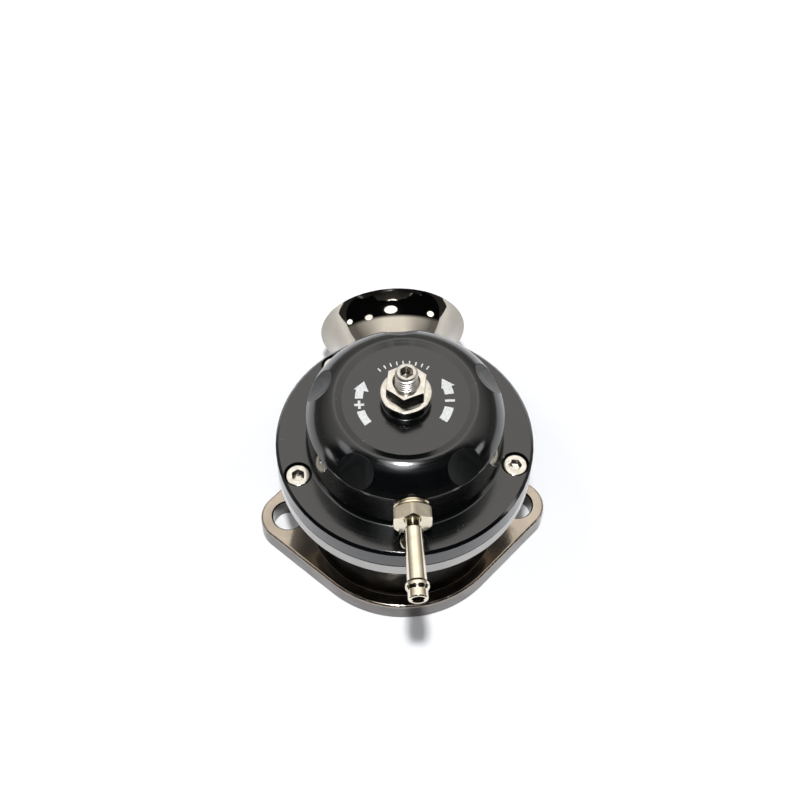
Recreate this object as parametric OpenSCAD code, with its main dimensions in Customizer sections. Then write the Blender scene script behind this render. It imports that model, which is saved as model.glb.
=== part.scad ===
// Turbo blow off valve: two-bolt flange, diaphragm housing, side trumpet and spring adjuster.
// Origin: centre of the inlet bore on the flange's lower face. +Z up, ears along X, trumpet +Y.

/* [Mounting flange] */
// Gap between the body wall and each flange bolt hole
bolt_gap = 3; // [2:0.25:7]
// Diameter of the flange bolt holes
bolt_hole_d = 9; // [7:0.5:10]
// Thickness of the flange
flange_t = 7.2; // [5:0.2:9]
// Width of the flange's land round the body wall
flange_land = 5; // [3:0.25:7]
// Wall of each ear round its bolt hole
ear_wall = 3.5; // [2.5:0.25:5]
// Chamfer of the flange's upper edge
flange_edge = 0.8; // [0.4:0.1:1.5]
// Diameter of the inlet bore
inlet_d = 38; // [32:1:40]

/* [Body] */
// Outer diameter of the body wall
body_d = 53; // [50:0.5:56]
// Thickness of the body wall
body_wall = 3.5; // [2.5:0.1:4]
// Height of the joint face above the mounting face
body_h = 41.6; // [40:0.2:48]
// Diameter of the bolted rim
rim_d = 70.8; // [69:0.2:78]
// Thickness of the lower housing's rim
body_rim_t = 5.3; // [4:0.1:7]
// Height of the valve seat above the flange
seat_h = 1.8; // [1:0.1:2.5]
// Thickness of the web that carries the stem guide
web_t = 3.2; // [2.4:0.1:4]
// Depth of the diaphragm pocket below the joint face
pocket_depth = 4.6; // [4.3:0.1:6]
// Radius of the fillets at both ends of the body wall
body_fillet = 1.5; // [0.5:0.1:2.5]
// Diameter of the stem guide boss
guide_d = 18; // [15:0.5:20]
// Length of the stem guide
guide_l = 12.6; // [9:0.2:13]

/* [Cover] */
// Thickness of the cover's rim
cover_rim_t = 6.8; // [6:0.1:9]
// Height of the cover's flat top above the joint face
cover_h = 27.8; // [26:0.2:34]
// Outer diameter of the dome
dome_d = 54; // [52:0.5:55]
// Thickness of the dome wall
dome_wall = 3.6; // [3:0.1:4]
// Width of the dome's shoulder, and its drop
shoulder_w = 7.8; // [6:0.1:9]
// Slope of the shoulder where it leaves the lip, in degrees
shoulder_slope = 20; // [12:1:26]
// Thickness of the dome's roof
roof_t = 4.4; // [3:0.1:5]
// Width of the lip round the dished top
lip_w = 0.5; // [0.3:0.1:1]
// Width of the dish's sloping border
dish_slope_w = 1.8; // [1:0.1:3]
// Depth of the dished top
dish_depth = 0.6; // [0.3:0.1:1]
// Chamfer of the cover rim's edge
rim_edge = 0.8; // [0.4:0.1:1.5]
// Number of scallops in the shoulder
scallop_count = 5; // [3:1:8]
// Radius of the scallop cutter
scallop_r = 21; // [14:0.5:28]
// Depth of the scallops below the crown of the shoulder
scallop_depth = 1; // [0.7:0.05:1.2]
// Slope of the scallops' floor, in degrees
scallop_slope = 50; // [45:1:55]

/* [Cover screws] */
// Number of cover screws
screw_count = 5; // [3:1:8]
// Thread diameter of the cover screws
screw_d = 4; // [3:0.5:4]
// Head diameter of the cover screws
screw_head_d = 6.8; // [5.5:0.1:7.2]
// Head height of the cover screws
screw_head_h = 4; // [3:0.1:5]
// Thread length of the cover screws
screw_l = 7; // [6:0.5:8]
// Depth of the heads below the rim's face
screw_sink = 0.4; // [0.2:0.1:1]
// Distance of the screw axes from the rim's edge
screw_edge = 4.4; // [4:0.1:5]

/* [Trumpet] */
// Diameter of the trumpet's mouth
trumpet_d = 45.8; // [40:0.2:48]
// Distance of the mouth from the valve axis
trumpet_reach = 54; // [53:0.5:70]
// Wall of the trumpet's sleeve
sleeve_wall = 2; // [1.6:0.1:2.6]
// Wall of the trumpet's flare
flare_wall = 1.4; // [1:0.1:1.8]
// Length of the sleeve on the spigot
sleeve_l = 7.5; // [7:0.1:10]
// Outer diameter of the spigot
spigot_d = 28; // [26:0.5:29]
// Diameter of the outlet passage
outlet_d = 22.6; // [18:0.2:23]
// Height of the trumpet's rim above the mounting face
floor_gap = 0.4; // [0.2:0.1:2]
// Thread diameter of the trumpet's set screws
set_screw_d = 3; // [2.5:0.5:3]
// Number of trumpet set screws
set_screw_count = 3; // [2:1:4]

/* [Vacuum nipple] */
// Height of the nipple above the joint face
nipple_h = 16.6; // [13:0.2:17]
// Thread diameter of the nipple
nipple_thread_d = 9.6; // [8:0.2:9.6]
// Hexagon of the nipple across flats
nipple_af = 10; // [9.8:0.1:12]
// Length of the nipple's hexagon
nipple_hex_l = 3.8; // [3:0.1:6]
// Exposed thread behind the hexagon
nipple_stand_off = 1.4; // [0.6:0.1:2]
// Length from the spot face to the nipple's tip
nipple_l = 26.4; // [20:0.2:32]
// Diameter of the hose tube
tube_d = 5.2; // [4.6:0.1:6]
// Diameter of the hose bead
bead_d = 6.3; // [6.2:0.1:7.5]
// Diameter of the nipple's bore
nipple_bore_d = 3.2; // [2:0.1:3.4]
// Depth of the flat cut under the nipple
spot_depth = 0.7; // [0.4:0.1:1]

/* [Adjuster] */
// Thread diameter of the adjuster screw
adjuster_d = 6; // [5:0.5:6.5]
// Length of the adjuster screw
adjuster_l = 20.5; // [18:0.5:26]
// Diameter of the boss under the lock nut
boss_d = 12.6; // [11:0.2:14]
// Height of the boss above the flat top
boss_h = 2.6; // [2:0.1:4]
// Lock nut across flats
nut_af = 10; // [9:0.5:11]
// Height of the lock nut
nut_h = 5.4; // [4.5:0.1:6.5]
// Diameter of the lock nut's flange
nut_flange_d = 13.6; // [12.8:0.2:15]
// Thickness of the lock nut's flange
nut_flange_t = 1.1; // [0.8:0.1:1.5]
// Gap between the spring seat and the roof
seat_room = 2.6; // [2.3:0.1:3]

/* [Valve] */
// Diameter of the valve stem
stem_d = 8; // [7:0.5:9]
// Diameter of the stem's upper thread
stem_thread_d = 6; // [5:0.5:6]
// Thickness of the valve head
head_t = 4; // [3:0.1:5]
// Thickness of the rubber diaphragm
rubber_t = 1.2; // [0.8:0.1:1.4]
// Thickness of the lower diaphragm plate
lower_plate_t = 1.4; // [1:0.1:1.6]
// Thickness of the upper diaphragm plate
upper_plate_t = 1.6; // [1.2:0.1:2]
// Wire diameter of the main spring
wire_d = 2; // [1.4:0.1:2.2]
// Mean diameter of the main spring
spring_d = 26; // [24:0.5:30]
// Turns of the main spring
spring_turns = 4.5; // [3.5:0.5:5]

/* [Hidden] */
$fn = 96;

// Clearances and small overlaps of the cutting solids
run_gap = 0.05;
press_gap = 0.02;
lift_gap = 0.8;
bore_gap = 0.25;
side_gap = 0.4;
over = 1;

// Colours of the finishes
black_nickel = "#4a4540";
black_anodised = "#26272a";
bright_steel = "#cfccc4";
nickel_brass = "#d9d0bb";
rubber_black = "#1c1c1c";
plain_alloy = "#a9abad";
bronze = "#a97b45";
spring_steel = "#8e9196";

// Hexagon sockets across flats, as a share of the thread diameter
cap_key = 0.75;
set_key = 0.5;
sunk_key = 0.6;

// Plan of the flange
bolt_spacing = body_d + bolt_hole_d + 2 * bolt_gap;
flange_mid_r = body_d / 2 + flange_land;
ear_r = bolt_hole_d / 2 + ear_wall;

// Heights in the body
seat_z = flange_t + seat_h;
web_top = body_h - pocket_depth;
web_bottom = web_top - web_t;
rim_bottom = body_h - body_rim_t;
guide_bottom = web_top - guide_l;
chamber_r = body_d / 2 - body_wall;
head_r = (inlet_d / 2 + chamber_r) / 2;
clamp_wall = 1.2;
clamp_r = rim_d / 2 - screw_edge - screw_d / 2 - clamp_wall;
bush_wall = 2;
bush_r = stem_d / 2 + bush_wall;

// Heights in the cover
top_z = body_h + cover_h;
roof_z = top_z - roof_t;
dome_r = dome_d / 2;
cavity_r = dome_r - dome_wall;
shoulder_z = top_z - shoulder_w;
disc_r = dome_r - shoulder_w;
shoulder_r = shoulder_w * sqrt(2) / (2 * sin(45 - shoulder_slope));
shoulder_c = [disc_r - shoulder_r * sin(shoulder_slope), top_z - shoulder_r * cos(shoulder_slope)];
dish_r = disc_r - lip_w - dish_slope_w;
boss_top = top_z + boss_h;
rim_face = body_h + cover_rim_t;
screw_circle_r = rim_d / 2 - screw_edge;
screw_chamfer = 0.4;
first_screw = -90;
first_scallop = 90;
scallop_l = 4 * shoulder_w;
dome_fillet = 1;
cavity_round = shoulder_w - dome_wall + side_gap;

// Stack on the valve stem, from the shoulder upwards
stack_z = web_top + lift_gap;
rubber_z = stack_z + lower_plate_t;
upper_z = rubber_z + rubber_t;
washer_z = upper_z + upper_plate_t;
washer_t = 1;
washer_r = stem_thread_d;
stem_nut_z = washer_z + washer_t;
stem_nut_h = 4;
stem_nut_af = 10;
screw_tip = 0.5;
stem_top = stem_nut_z + stem_nut_h + 2 * screw_tip;

// Diaphragm roll between the plates and the clamped rim
roll_outer = 2 * rubber_t;
roll_r = cavity_r - roll_outer + side_gap;
pocket_r = roll_r + roll_outer + side_gap;
plate_r = roll_r - roll_outer - side_gap;

// Spring and its seats
spring_seat_t = 2;
seat_rib_h = 1.5;
spring_seat_top = roof_z - seat_room;
spring_seat_z = spring_seat_top - spring_seat_t;
spring_r = spring_d / 2;
rib_r = spring_r - wire_d / 2 - side_gap;
rib_w = 1.6;
spring_gap = 0.05;
spring_seat_r = spring_r + wire_d / 2 + rib_w;
coil_steps = 24;
coil_sides = 10;

// Adjuster screw, its seal and lock nut
pip_depth = 1;
adjuster_z = spring_seat_top - pip_depth;
pip_r = adjuster_d / 2 + bore_gap;
seal_section_r = 0.7;
seal_pocket = 2 * seal_section_r + 3 * press_gap;
seal_pocket_r = adjuster_d / 2 + 2 * seal_section_r + bore_gap;
nut_turn = -10;
nut_sink = 0.6;
flange_cone = 0.2;

// Outlet and trumpet, measured along +Y from the valve axis
outlet_z = trumpet_d / 2 + floor_gap;
spigot_r = spigot_d / 2;
sleeve_in_r = spigot_r + run_gap;
sleeve_r = sleeve_in_r + sleeve_wall;
rim_gap = 0.6;
sleeve_y = rim_d / 2 + rim_gap;
flare_y = sleeve_y + sleeve_l;
spigot_end = flare_y - rim_gap;
flare_rise = trumpet_d / 2 - sleeve_r;
flare_run = trumpet_reach - flare_y;
flare_r = (flare_rise * flare_rise + flare_run * flare_run) / (2 * flare_rise);
o_ring_r = 0.7;
groove_w = 2 * o_ring_r + side_gap;
groove_r = sleeve_in_r - 2 * (o_ring_r + press_gap);
groove_y = spigot_end - groove_w;
first_set_screw = -90;
dimple_depth = 0.6;
set_screw_sink = 0.3;
set_screw_y = sleeve_y + set_screw_d / 2 + side_gap;

// Nipple, measured along -Y from its flat
spot_y = dome_r - spot_depth;
spot_r = 6.5;
thread_in = dome_wall;
nipple_z = body_h + nipple_h;
hex_start = nipple_stand_off;
hex_end = hex_start + nipple_hex_l;
neck_l = 1.2;
neck_step = 0.25;
tube_taper = 0.2;
neck_r = tube_d / 2 - tube_taper - 2 * neck_step;
bead_from_tip = 4.1;
bead_land = 0.8;
bead_ramp = 0.9;

// Valve head and its fastening
seal_w = 1.6;
seal_t = 1.4;
seal_proud = 0.3;
head_z = seat_z + seal_proud;
seal_mid_r = (inlet_d / 2 + head_r) / 2;
head_top = head_z + head_t;
hub_wall = 2;
hub_r = stem_d / 2 + hub_wall;
hub_h = 1.6;
head_edge = 1;
head_screw_d = 5;
head_screw_l = 10;
sink_h = 2;
sink_r = head_screw_d / 2 + sink_h;

// A hexagon prism of the given width across flats, with a corner on +Y
module hex_prism(af, h) {
    rotate(30) cylinder(d = af / cos(30), h = h, $fn = 6);
}

// A hexagon prism whose corners are turned off at the chosen ends
module turned_hex(af, h, low = false, high = false) {
    corner = af / cos(30) / 2;
    edge = corner - af / 2;
    drop = edge * tan(30);
    intersection() {
        hex_prism(af, h);
        rotate_extrude() polygon([
            [0, 0],
            [corner - (low ? edge : 0), 0],
            [corner, low ? drop : 0],
            [corner, h - (high ? drop : 0)],
            [corner - (high ? edge : 0), h],
            [0, h]
        ]);
    }
}

// A flat ring between two radii
module ring(r_out, r_in, h) {
    difference() {
        cylinder(r = r_out, h = h);
        translate([0, 0, -over]) cylinder(r = r_in, h = h + 2 * over);
    }
}

// A round ring of the given section radius
module round_ring(r, section_r) {
    rotate_extrude() translate([r, 0]) circle(section_r, $fn = 48);
}

// Copies a child round the valve axis, or round the axis that the caller has turned to +Z
module around(count, first, r) {
    for (i = [0 : count - 1]) rotate(first + i * 360 / count) translate([r, 0, 0]) children();
}

// Turns a child's +Z to +Y, at the outlet's height and the given distance from the valve axis
module along_outlet(y) {
    translate([0, y, outlet_z]) rotate([-90, 0, 0]) children();
}

// Turns a child's +Z to -Y, outwards from the nipple's flat
module along_nipple() {
    translate([0, -spot_y, nipple_z]) rotate([90, 0, 0]) children();
}

// The concave corner that a fillet fills, in the first quadrant
module fillet_corner(r) {
    difference() {
        square(r);
        translate([r, r]) circle(r);
    }
}

// Corners where the flange's straight edges leave its round ends, set in by a distance.
// The edges lie a hair inside the tangents, so that they cross the round ends.
function flange_corners(inset) =
    let(
        a = acos((flange_mid_r - ear_r) / (bolt_spacing / 2)),
        mid = (flange_mid_r - inset - press_gap) * [cos(a), sin(a)],
        ear = (ear_r - inset - press_gap) * [cos(a), sin(a)] + [bolt_spacing / 2, 0]
    )
    [
        ear, mid, [-mid.x, mid.y], [-ear.x, ear.y],
        [-ear.x, -ear.y], [-mid.x, -mid.y], [mid.x, -mid.y], [ear.x, -ear.y]
    ];

// The flange between two heights, set in by its own distance at each
module flange_slab(z0, inset0, z1, inset1) {
    low = flange_corners(inset0);
    high = flange_corners(inset1);
    n = len(low);
    polyhedron(
        points = concat([for (p = low) [p.x, p.y, z0]], [for (p = high) [p.x, p.y, z1]]),
        faces = concat(
            [[for (i = [0 : n - 1]) i]],
            [[for (i = [n - 1 : -1 : 0]) n + i]],
            [for (i = [0 : n - 1]) [i, n + i, n + (i + 1) % n, (i + 1) % n]]
        )
    );
    translate([0, 0, z0]) {
        cylinder(r1 = flange_mid_r - inset0, r2 = flange_mid_r - inset1, h = z1 - z0);
        for (side = [-1, 1])
            translate([side * bolt_spacing / 2, 0, 0])
                cylinder(r1 = ear_r - inset0, r2 = ear_r - inset1, h = z1 - z0);
    }
}

// Base casting: flange, wall of the valve chamber and outlet spigot
module valve_body() {
    color(black_nickel) difference() {
        union() {
            flange_slab(0, 0, flange_t - flange_edge, 0);
            flange_slab(flange_t - flange_edge, 0, flange_t, flange_edge);
            rotate_extrude() body_profile();
            along_outlet(0) cylinder(r = sleeve_r, h = sleeve_y);
            along_outlet(0) cylinder(r = spigot_r, h = spigot_end);
        }
        translate([0, 0, -over]) cylinder(d = inlet_d, h = seat_z + 2 * over);
        translate([0, 0, seat_z]) cylinder(r = chamber_r, h = rim_bottom - seat_z + over);
        translate([0, 0, rim_bottom]) cylinder(r = sleeve_y + over, h = sleeve_r);
        along_outlet(chamber_r - body_wall) cylinder(d = outlet_d, h = trumpet_reach);
        along_outlet(groove_y - groove_w / 2) ring(spigot_r + over, groove_r, groove_w);
        along_outlet(set_screw_y) around(set_screw_count, first_set_screw, spigot_r - dimple_depth)
            rotate([0, 90, 0]) cylinder(r = set_screw_d / 2 + run_gap, h = sleeve_wall);
        for (side = [-1, 1])
            translate([side * bolt_spacing / 2, 0, -over])
                cylinder(d = bolt_hole_d, h = flange_t + 2 * over);
    }
}

// Outer section of the casting's wall, with a collar that is cut level under the rim
module body_profile() {
    square([body_d / 2, rim_bottom + over]);
    translate([body_d / 2, flange_t]) fillet_corner(body_fillet);
    translate([body_d / 2, rim_bottom]) mirror([0, 1]) fillet_corner(body_fillet);
    translate([body_d / 2 - over, rim_bottom]) square([body_fillet + over, over]);
}

// Turned lower housing: bolted rim, register in the casting's wall, diaphragm pocket and stem guide
module lower_housing() {
    color(black_nickel) difference() {
        union() {
            rotate_extrude() housing_profile();
            translate([0, 0, guide_bottom]) cylinder(d = guide_d, h = guide_l);
        }
        translate([0, 0, web_top]) cylinder(r = pocket_r, h = pocket_depth + over);
        translate([0, 0, body_h - rubber_t]) cylinder(r = clamp_r + press_gap, h = rubber_t + over);
        translate([0, 0, guide_bottom - over])
            cylinder(r = bush_r + press_gap, h = guide_l + 2 * over);
        around(screw_count, first_screw, screw_circle_r)
            translate([0, 0, rim_bottom - over])
                cylinder(r = screw_d / 2 + run_gap, h = body_rim_t + 2 * over);
    }
}

// Outer section of the lower housing
module housing_profile() {
    polygon([
        [0, web_bottom],
        [chamber_r - press_gap, web_bottom],
        [chamber_r - press_gap, rim_bottom],
        [rim_d / 2 - rim_edge, rim_bottom],
        [rim_d / 2, rim_bottom + rim_edge],
        [rim_d / 2, body_h],
        [0, body_h]
    ]);
}

// Bronze bush that the stem slides in
module guide_bush() {
    color(bronze) translate([0, 0, guide_bottom]) ring(bush_r, stem_d / 2 + run_gap, guide_l);
}

// Turned cover: bolted rim, scalloped dome, dished top and the adjuster's boss
module cover() {
    color(black_anodised) difference() {
        rotate_extrude() cover_profile();
        rotate_extrude() cover_hollow();
        around(scallop_count, first_scallop, 0) scallop_cutter();
        around(screw_count, first_screw, screw_circle_r) {
            translate([0, 0, body_h - over]) cylinder(r = screw_d / 2 + bore_gap, h = cover_rim_t);
            translate([0, 0, rim_face - screw_sink - screw_head_h])
                cylinder(r = screw_head_d / 2 + bore_gap, h = screw_head_h + screw_sink + over);
        }
        along_nipple() {
            translate([0, 0, -dome_wall - over])
                cylinder(r = nipple_thread_d / 2 + press_gap, h = dome_wall + 2 * over);
            cylinder(r = spot_r, h = spot_depth + over);
        }
        translate([0, 0, roof_z - over])
            cylinder(r = adjuster_d / 2 + run_gap, h = roof_t + boss_h + 2 * over);
        translate([0, 0, boss_top - seal_pocket])
            cylinder(r = seal_pocket_r, h = seal_pocket + over);
    }
}

// Outer section of the cover
module cover_profile() {
    polygon([
        [0, body_h],
        [rim_d / 2, body_h],
        [rim_d / 2, rim_face - rim_edge],
        [rim_d / 2 - rim_edge, rim_face],
        [dome_r, rim_face],
        [dome_r, shoulder_z],
        [disc_r, shoulder_z],
        [disc_r, top_z],
        [disc_r - lip_w, top_z],
        [dish_r, top_z - dish_depth],
        [boss_d / 2, top_z - dish_depth],
        [boss_d / 2, boss_top],
        [0, boss_top]
    ]);
    shoulder_crown();
    translate([dome_r, rim_face]) fillet_corner(dome_fillet);
}

// Spring chamber under the dome, with a rounded corner at the roof
module cover_hollow() {
    translate([0, body_h - over]) square([cavity_r, roof_z - cavity_round - body_h + over]);
    translate([0, body_h - over]) square([cavity_r - cavity_round, roof_z - body_h + over]);
    translate([cavity_r - cavity_round, roof_z - cavity_round]) circle(cavity_round);
}

// Slice of the shoulder's circle between the lip and the dome wall
module shoulder_crown() {
    reach = 2 * shoulder_r;
    translate(shoulder_c) intersection() {
        circle(shoulder_r);
        polygon([
            [0, 0],
            reach * [sin(shoulder_slope), cos(shoulder_slope)],
            reach * [1, 1],
            reach * [cos(shoulder_slope), sin(shoulder_slope)]
        ]);
    }
}

// Round cutter laid down the slope of the shoulder
module scallop_cutter() {
    translate([shoulder_c.x, 0, shoulder_c.y])
        rotate([0, scallop_slope, 0])
            translate([-scallop_l / 2, 0, shoulder_r - scallop_depth + scallop_r])
                rotate([0, 90, 0])
                    cylinder(r = scallop_r, h = scallop_l);
}

// Socket head screws that clamp the cover and the diaphragm
module cover_screws() {
    color(bright_steel) around(screw_count, first_screw, screw_circle_r)
        translate([0, 0, rim_face - screw_sink - screw_head_h]) socket_screw();
}

// One socket head screw, standing on the underside of its head
module socket_screw() {
    difference() {
        union() {
            rotate_extrude() polygon([
                [0, 0],
                [screw_head_d / 2, 0],
                [screw_head_d / 2, screw_head_h - screw_chamfer],
                [screw_head_d / 2 - screw_chamfer, screw_head_h],
                [0, screw_head_h]
            ]);
            translate([0, 0, -screw_l]) cylinder(d = screw_d, h = screw_l + over);
        }
        translate([0, 0, screw_head_h / 2]) hex_prism(screw_d * cap_key, screw_head_h);
    }
}

// Rubber diaphragm: flat middle, one hanging roll and the clamped rim
module diaphragm() {
    roll_z = rubber_z + rubber_t / 2;
    color(rubber_black) rotate_extrude() {
        translate([stem_thread_d / 2 + run_gap, rubber_z])
            square([roll_r - rubber_t - stem_thread_d / 2 - run_gap, rubber_t]);
        translate([roll_r, roll_z]) difference() {
            circle(roll_outer);
            circle(roll_outer - rubber_t);
            translate([-roll_outer - over, 0]) square([2 * (roll_outer + over), roll_outer + over]);
        }
        translate([roll_r + roll_outer - rubber_t, roll_z]) square([rubber_t, body_h - roll_z]);
        translate([roll_r + roll_outer - rubber_t, body_h - rubber_t])
            square([clamp_r - roll_r - roll_outer + rubber_t, rubber_t]);
    }
}

// Flared trumpet with a sleeve over the outlet spigot
module trumpet() {
    color(black_nickel) along_outlet(sleeve_y) difference() {
        rotate_extrude() {
            translate([sleeve_in_r, 0]) square([sleeve_wall, sleeve_l]);
            intersection() {
                translate([sleeve_r + flare_r, sleeve_l]) difference() {
                    circle(flare_r + flare_wall, $fn = 180);
                    circle(flare_r, $fn = 180);
                }
                translate([0, sleeve_l]) square([trumpet_d / 2, flare_run]);
            }
        }
        translate([0, 0, set_screw_y - sleeve_y])
            around(set_screw_count, first_set_screw, spigot_r - dimple_depth)
                rotate([0, 90, 0])
                    cylinder(r = set_screw_d / 2 + run_gap, h = sleeve_wall + dimple_depth + over);
    }
}

// Seal between spigot and trumpet
module trumpet_o_ring() {
    color(rubber_black) along_outlet(groove_y)
        round_ring(sleeve_in_r - o_ring_r - press_gap, o_ring_r);
}

// Headless screws that hold the trumpet on its spigot
module trumpet_set_screws() {
    length = sleeve_r - set_screw_sink - spigot_r + dimple_depth;
    color(bright_steel) along_outlet(set_screw_y)
        around(set_screw_count, first_set_screw, spigot_r - dimple_depth)
            rotate([0, 90, 0]) difference() {
                cylinder(d = set_screw_d, h = length);
                translate([0, 0, length / 2]) hex_prism(set_screw_d * set_key, length);
            }
}

// Hose nipple: pipe thread, hexagon, undercut, tapered tube and hose bead
module vacuum_nipple() {
    color(nickel_brass) along_nipple() difference() {
        union() {
            translate([0, 0, -thread_in]) cylinder(d = nipple_thread_d, h = thread_in + hex_start + over);
            translate([0, 0, hex_start]) turned_hex(nipple_af, nipple_hex_l, low = true);
            rotate_extrude() nipple_tube();
        }
        translate([0, 0, -thread_in - over]) cylinder(d = nipple_bore_d, h = nipple_l + thread_in + 2 * over);
    }
}

// Section of the tube in front of the nipple's hexagon
module nipple_tube() {
    tube_r = tube_d / 2;
    root_r = tube_r - tube_taper;
    bead_r = bead_d / 2;
    bead_z = nipple_l - bead_from_tip;
    polygon([
        [0, hex_end - over],
        [neck_r, hex_end - over],
        [neck_r, hex_end + neck_l],
        [root_r - neck_step, hex_end + neck_l],
        [root_r, hex_end + neck_l + neck_step],
        [tube_r, bead_z - bead_ramp],
        [bead_r, bead_z],
        [bead_r, bead_z + bead_land],
        [tube_r, bead_z + bead_land + bead_ramp],
        [tube_r, nipple_l - neck_step],
        [tube_r - neck_step, nipple_l],
        [0, nipple_l]
    ]);
}

// Headless adjuster screw that presses on the spring seat
module adjuster_screw() {
    r = adjuster_d / 2;
    color(bright_steel) translate([0, 0, adjuster_z]) difference() {
        rotate_extrude() polygon([
            [0, 0],
            [r - screw_tip, 0],
            [r, screw_tip],
            [r, adjuster_l - screw_tip],
            [r - screw_tip, adjuster_l],
            [0, adjuster_l]
        ]);
        translate([0, 0, adjuster_l - adjuster_d / 2]) hex_prism(adjuster_d * set_key, adjuster_d);
    }
}

// Seal round the adjuster screw, pressed by the lock nut
module adjuster_seal() {
    color(rubber_black) translate([0, 0, boss_top - seal_pocket + seal_section_r + press_gap])
        round_ring(seal_pocket_r - seal_section_r - press_gap, seal_section_r);
}

// Flanged lock nut on the adjuster screw
module lock_nut() {
    bore_r = adjuster_d / 2 + run_gap;
    color(bright_steel) translate([0, 0, boss_top]) rotate(nut_turn) difference() {
        union() {
            rotate_extrude() polygon([
                [0, 0],
                [nut_flange_d / 2, 0],
                [nut_flange_d / 2, nut_flange_t / 2],
                [nut_af / 2, nut_flange_t + flange_cone],
                [0, nut_flange_t + flange_cone]
            ]);
            translate([0, 0, nut_flange_t / 2]) turned_hex(nut_af, nut_h - nut_flange_t / 2, high = true);
        }
        translate([0, 0, -over]) cylinder(r = bore_r, h = nut_h + 2 * over);
        translate([0, 0, nut_h - nut_sink])
            cylinder(r1 = bore_r, r2 = bore_r + nut_sink, h = nut_sink + press_gap);
    }
}

// Disc between the adjuster screw and the spring
module spring_seat() {
    color(plain_alloy) translate([0, 0, spring_seat_z]) difference() {
        union() {
            cylinder(r = spring_seat_r, h = spring_seat_t);
            translate([0, 0, -seat_rib_h]) ring(rib_r, rib_r - rib_w, seat_rib_h + spring_seat_t / 2);
        }
        translate([0, 0, adjuster_z - spring_seat_z]) cylinder(r = pip_r, h = spring_seat_t);
    }
}

// Coil spring with one closed turn at each end
module main_spring() {
    color(spring_steel) sweep_coil();
}

// Height of the spring wire after a number of turns
function coil_z(turn) =
    let(
        closed = wire_d + 2 * spring_gap,
        low = washer_z + wire_d / 2 + spring_gap,
        high = spring_seat_z - wire_d / 2 - spring_gap,
        pitch = (high - low - 2 * closed) / (spring_turns - 2)
    )
    turn < 1 ? low + turn * closed
        : turn > spring_turns - 1 ? high - (spring_turns - turn) * closed
        : low + closed + (turn - 1) * pitch;

// Wire of the spring as rings of points along the coil
module sweep_coil() {
    rings = round(spring_turns * coil_steps);
    points = [
        for (i = [0 : rings])
            let(turn = i / coil_steps, a = 360 * turn)
            for (k = [0 : coil_sides - 1])
                let(b = 360 * k / coil_sides, r = spring_r + wire_d / 2 * cos(b))
                [r * cos(a), r * sin(a), coil_z(turn) + wire_d / 2 * sin(b)]
    ];
    sides = [
        for (i = [0 : rings - 1], k = [0 : coil_sides - 1])
            let(next = (k + 1) % coil_sides, here = i * coil_sides, there = here + coil_sides)
            [here + k, here + next, there + next, there + k]
    ];
    polyhedron(
        points = points,
        faces = concat(
            [[for (k = [coil_sides - 1 : -1 : 0]) k]],
            sides,
            [[for (k = [0 : coil_sides - 1]) rings * coil_sides + k]]
        )
    );
}

// Plate on top of the diaphragm, with a rib that centres the spring
module upper_plate() {
    color(plain_alloy) translate([0, 0, upper_z]) difference() {
        union() {
            cylinder(r = plate_r, h = upper_plate_t);
            ring(rib_r, rib_r - rib_w, upper_plate_t + seat_rib_h);
        }
        translate([0, 0, -over]) cylinder(r = stem_thread_d / 2 + run_gap, h = upper_plate_t + 2 * over);
    }
}

// Plate under the diaphragm
module lower_plate() {
    color(plain_alloy) translate([0, 0, stack_z])
        ring(plate_r, stem_thread_d / 2 + run_gap, lower_plate_t);
}

// Nut that clamps the plates and the diaphragm on the stem
module stem_nut() {
    color(bright_steel) translate([0, 0, stem_nut_z]) difference() {
        turned_hex(stem_nut_af, stem_nut_h, high = true);
        translate([0, 0, -over]) cylinder(r = stem_thread_d / 2 + run_gap, h = stem_nut_h + 2 * over);
    }
}

// Washer under the stem nut
module stem_washer() {
    color(bright_steel) translate([0, 0, washer_z])
        ring(washer_r, stem_thread_d / 2 + run_gap, washer_t);
}

// Stem with a shoulder for the plates and a thread at each end
module valve_stem() {
    color(bright_steel) difference() {
        rotate_extrude() polygon([
            [0, head_top],
            [stem_d / 2, head_top],
            [stem_d / 2, stack_z],
            [stem_thread_d / 2, stack_z],
            [stem_thread_d / 2, stem_top - screw_tip],
            [stem_thread_d / 2 - screw_tip, stem_top],
            [0, stem_top]
        ]);
        translate([0, 0, head_top - over]) cylinder(r = head_screw_d / 2 + run_gap, h = head_screw_l + over);
    }
}

// Valve head with a hub for the stem and a groove for its seal
module valve_head() {
    color(plain_alloy) translate([0, 0, head_z]) difference() {
        rotate_extrude() polygon([
            [0, 0],
            [head_r, 0],
            [head_r, head_t - head_edge],
            [head_r - head_edge, head_t],
            [hub_r, head_t],
            [hub_r, head_t + hub_h],
            [0, head_t + hub_h]
        ]);
        translate([0, 0, head_t]) cylinder(r = stem_d / 2 + press_gap, h = hub_h + over);
        translate([0, 0, -over]) cylinder(r = head_screw_d / 2 + run_gap, h = head_t + 2 * over);
        cylinder(r1 = sink_r + press_gap, r2 = head_screw_d / 2 + press_gap, h = sink_h);
        translate([0, 0, -over]) ring(
            seal_mid_r + seal_w / 2 + press_gap,
            seal_mid_r - seal_w / 2 - press_gap,
            over + seal_t - seal_proud
        );
    }
}

// Rubber ring that closes on the seat
module valve_seal() {
    color(rubber_black) translate([0, 0, seat_z])
        ring(seal_mid_r + seal_w / 2, seal_mid_r - seal_w / 2, seal_t);
}

// Countersunk screw that holds the valve head on the stem
module head_screw() {
    color(bright_steel) translate([0, 0, head_z]) difference() {
        union() {
            cylinder(r1 = sink_r, r2 = head_screw_d / 2, h = sink_h);
            cylinder(d = head_screw_d, h = head_t + head_screw_l - over);
        }
        translate([0, 0, -over]) hex_prism(head_screw_d * sunk_key, sink_h + over);
    }
}

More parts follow.
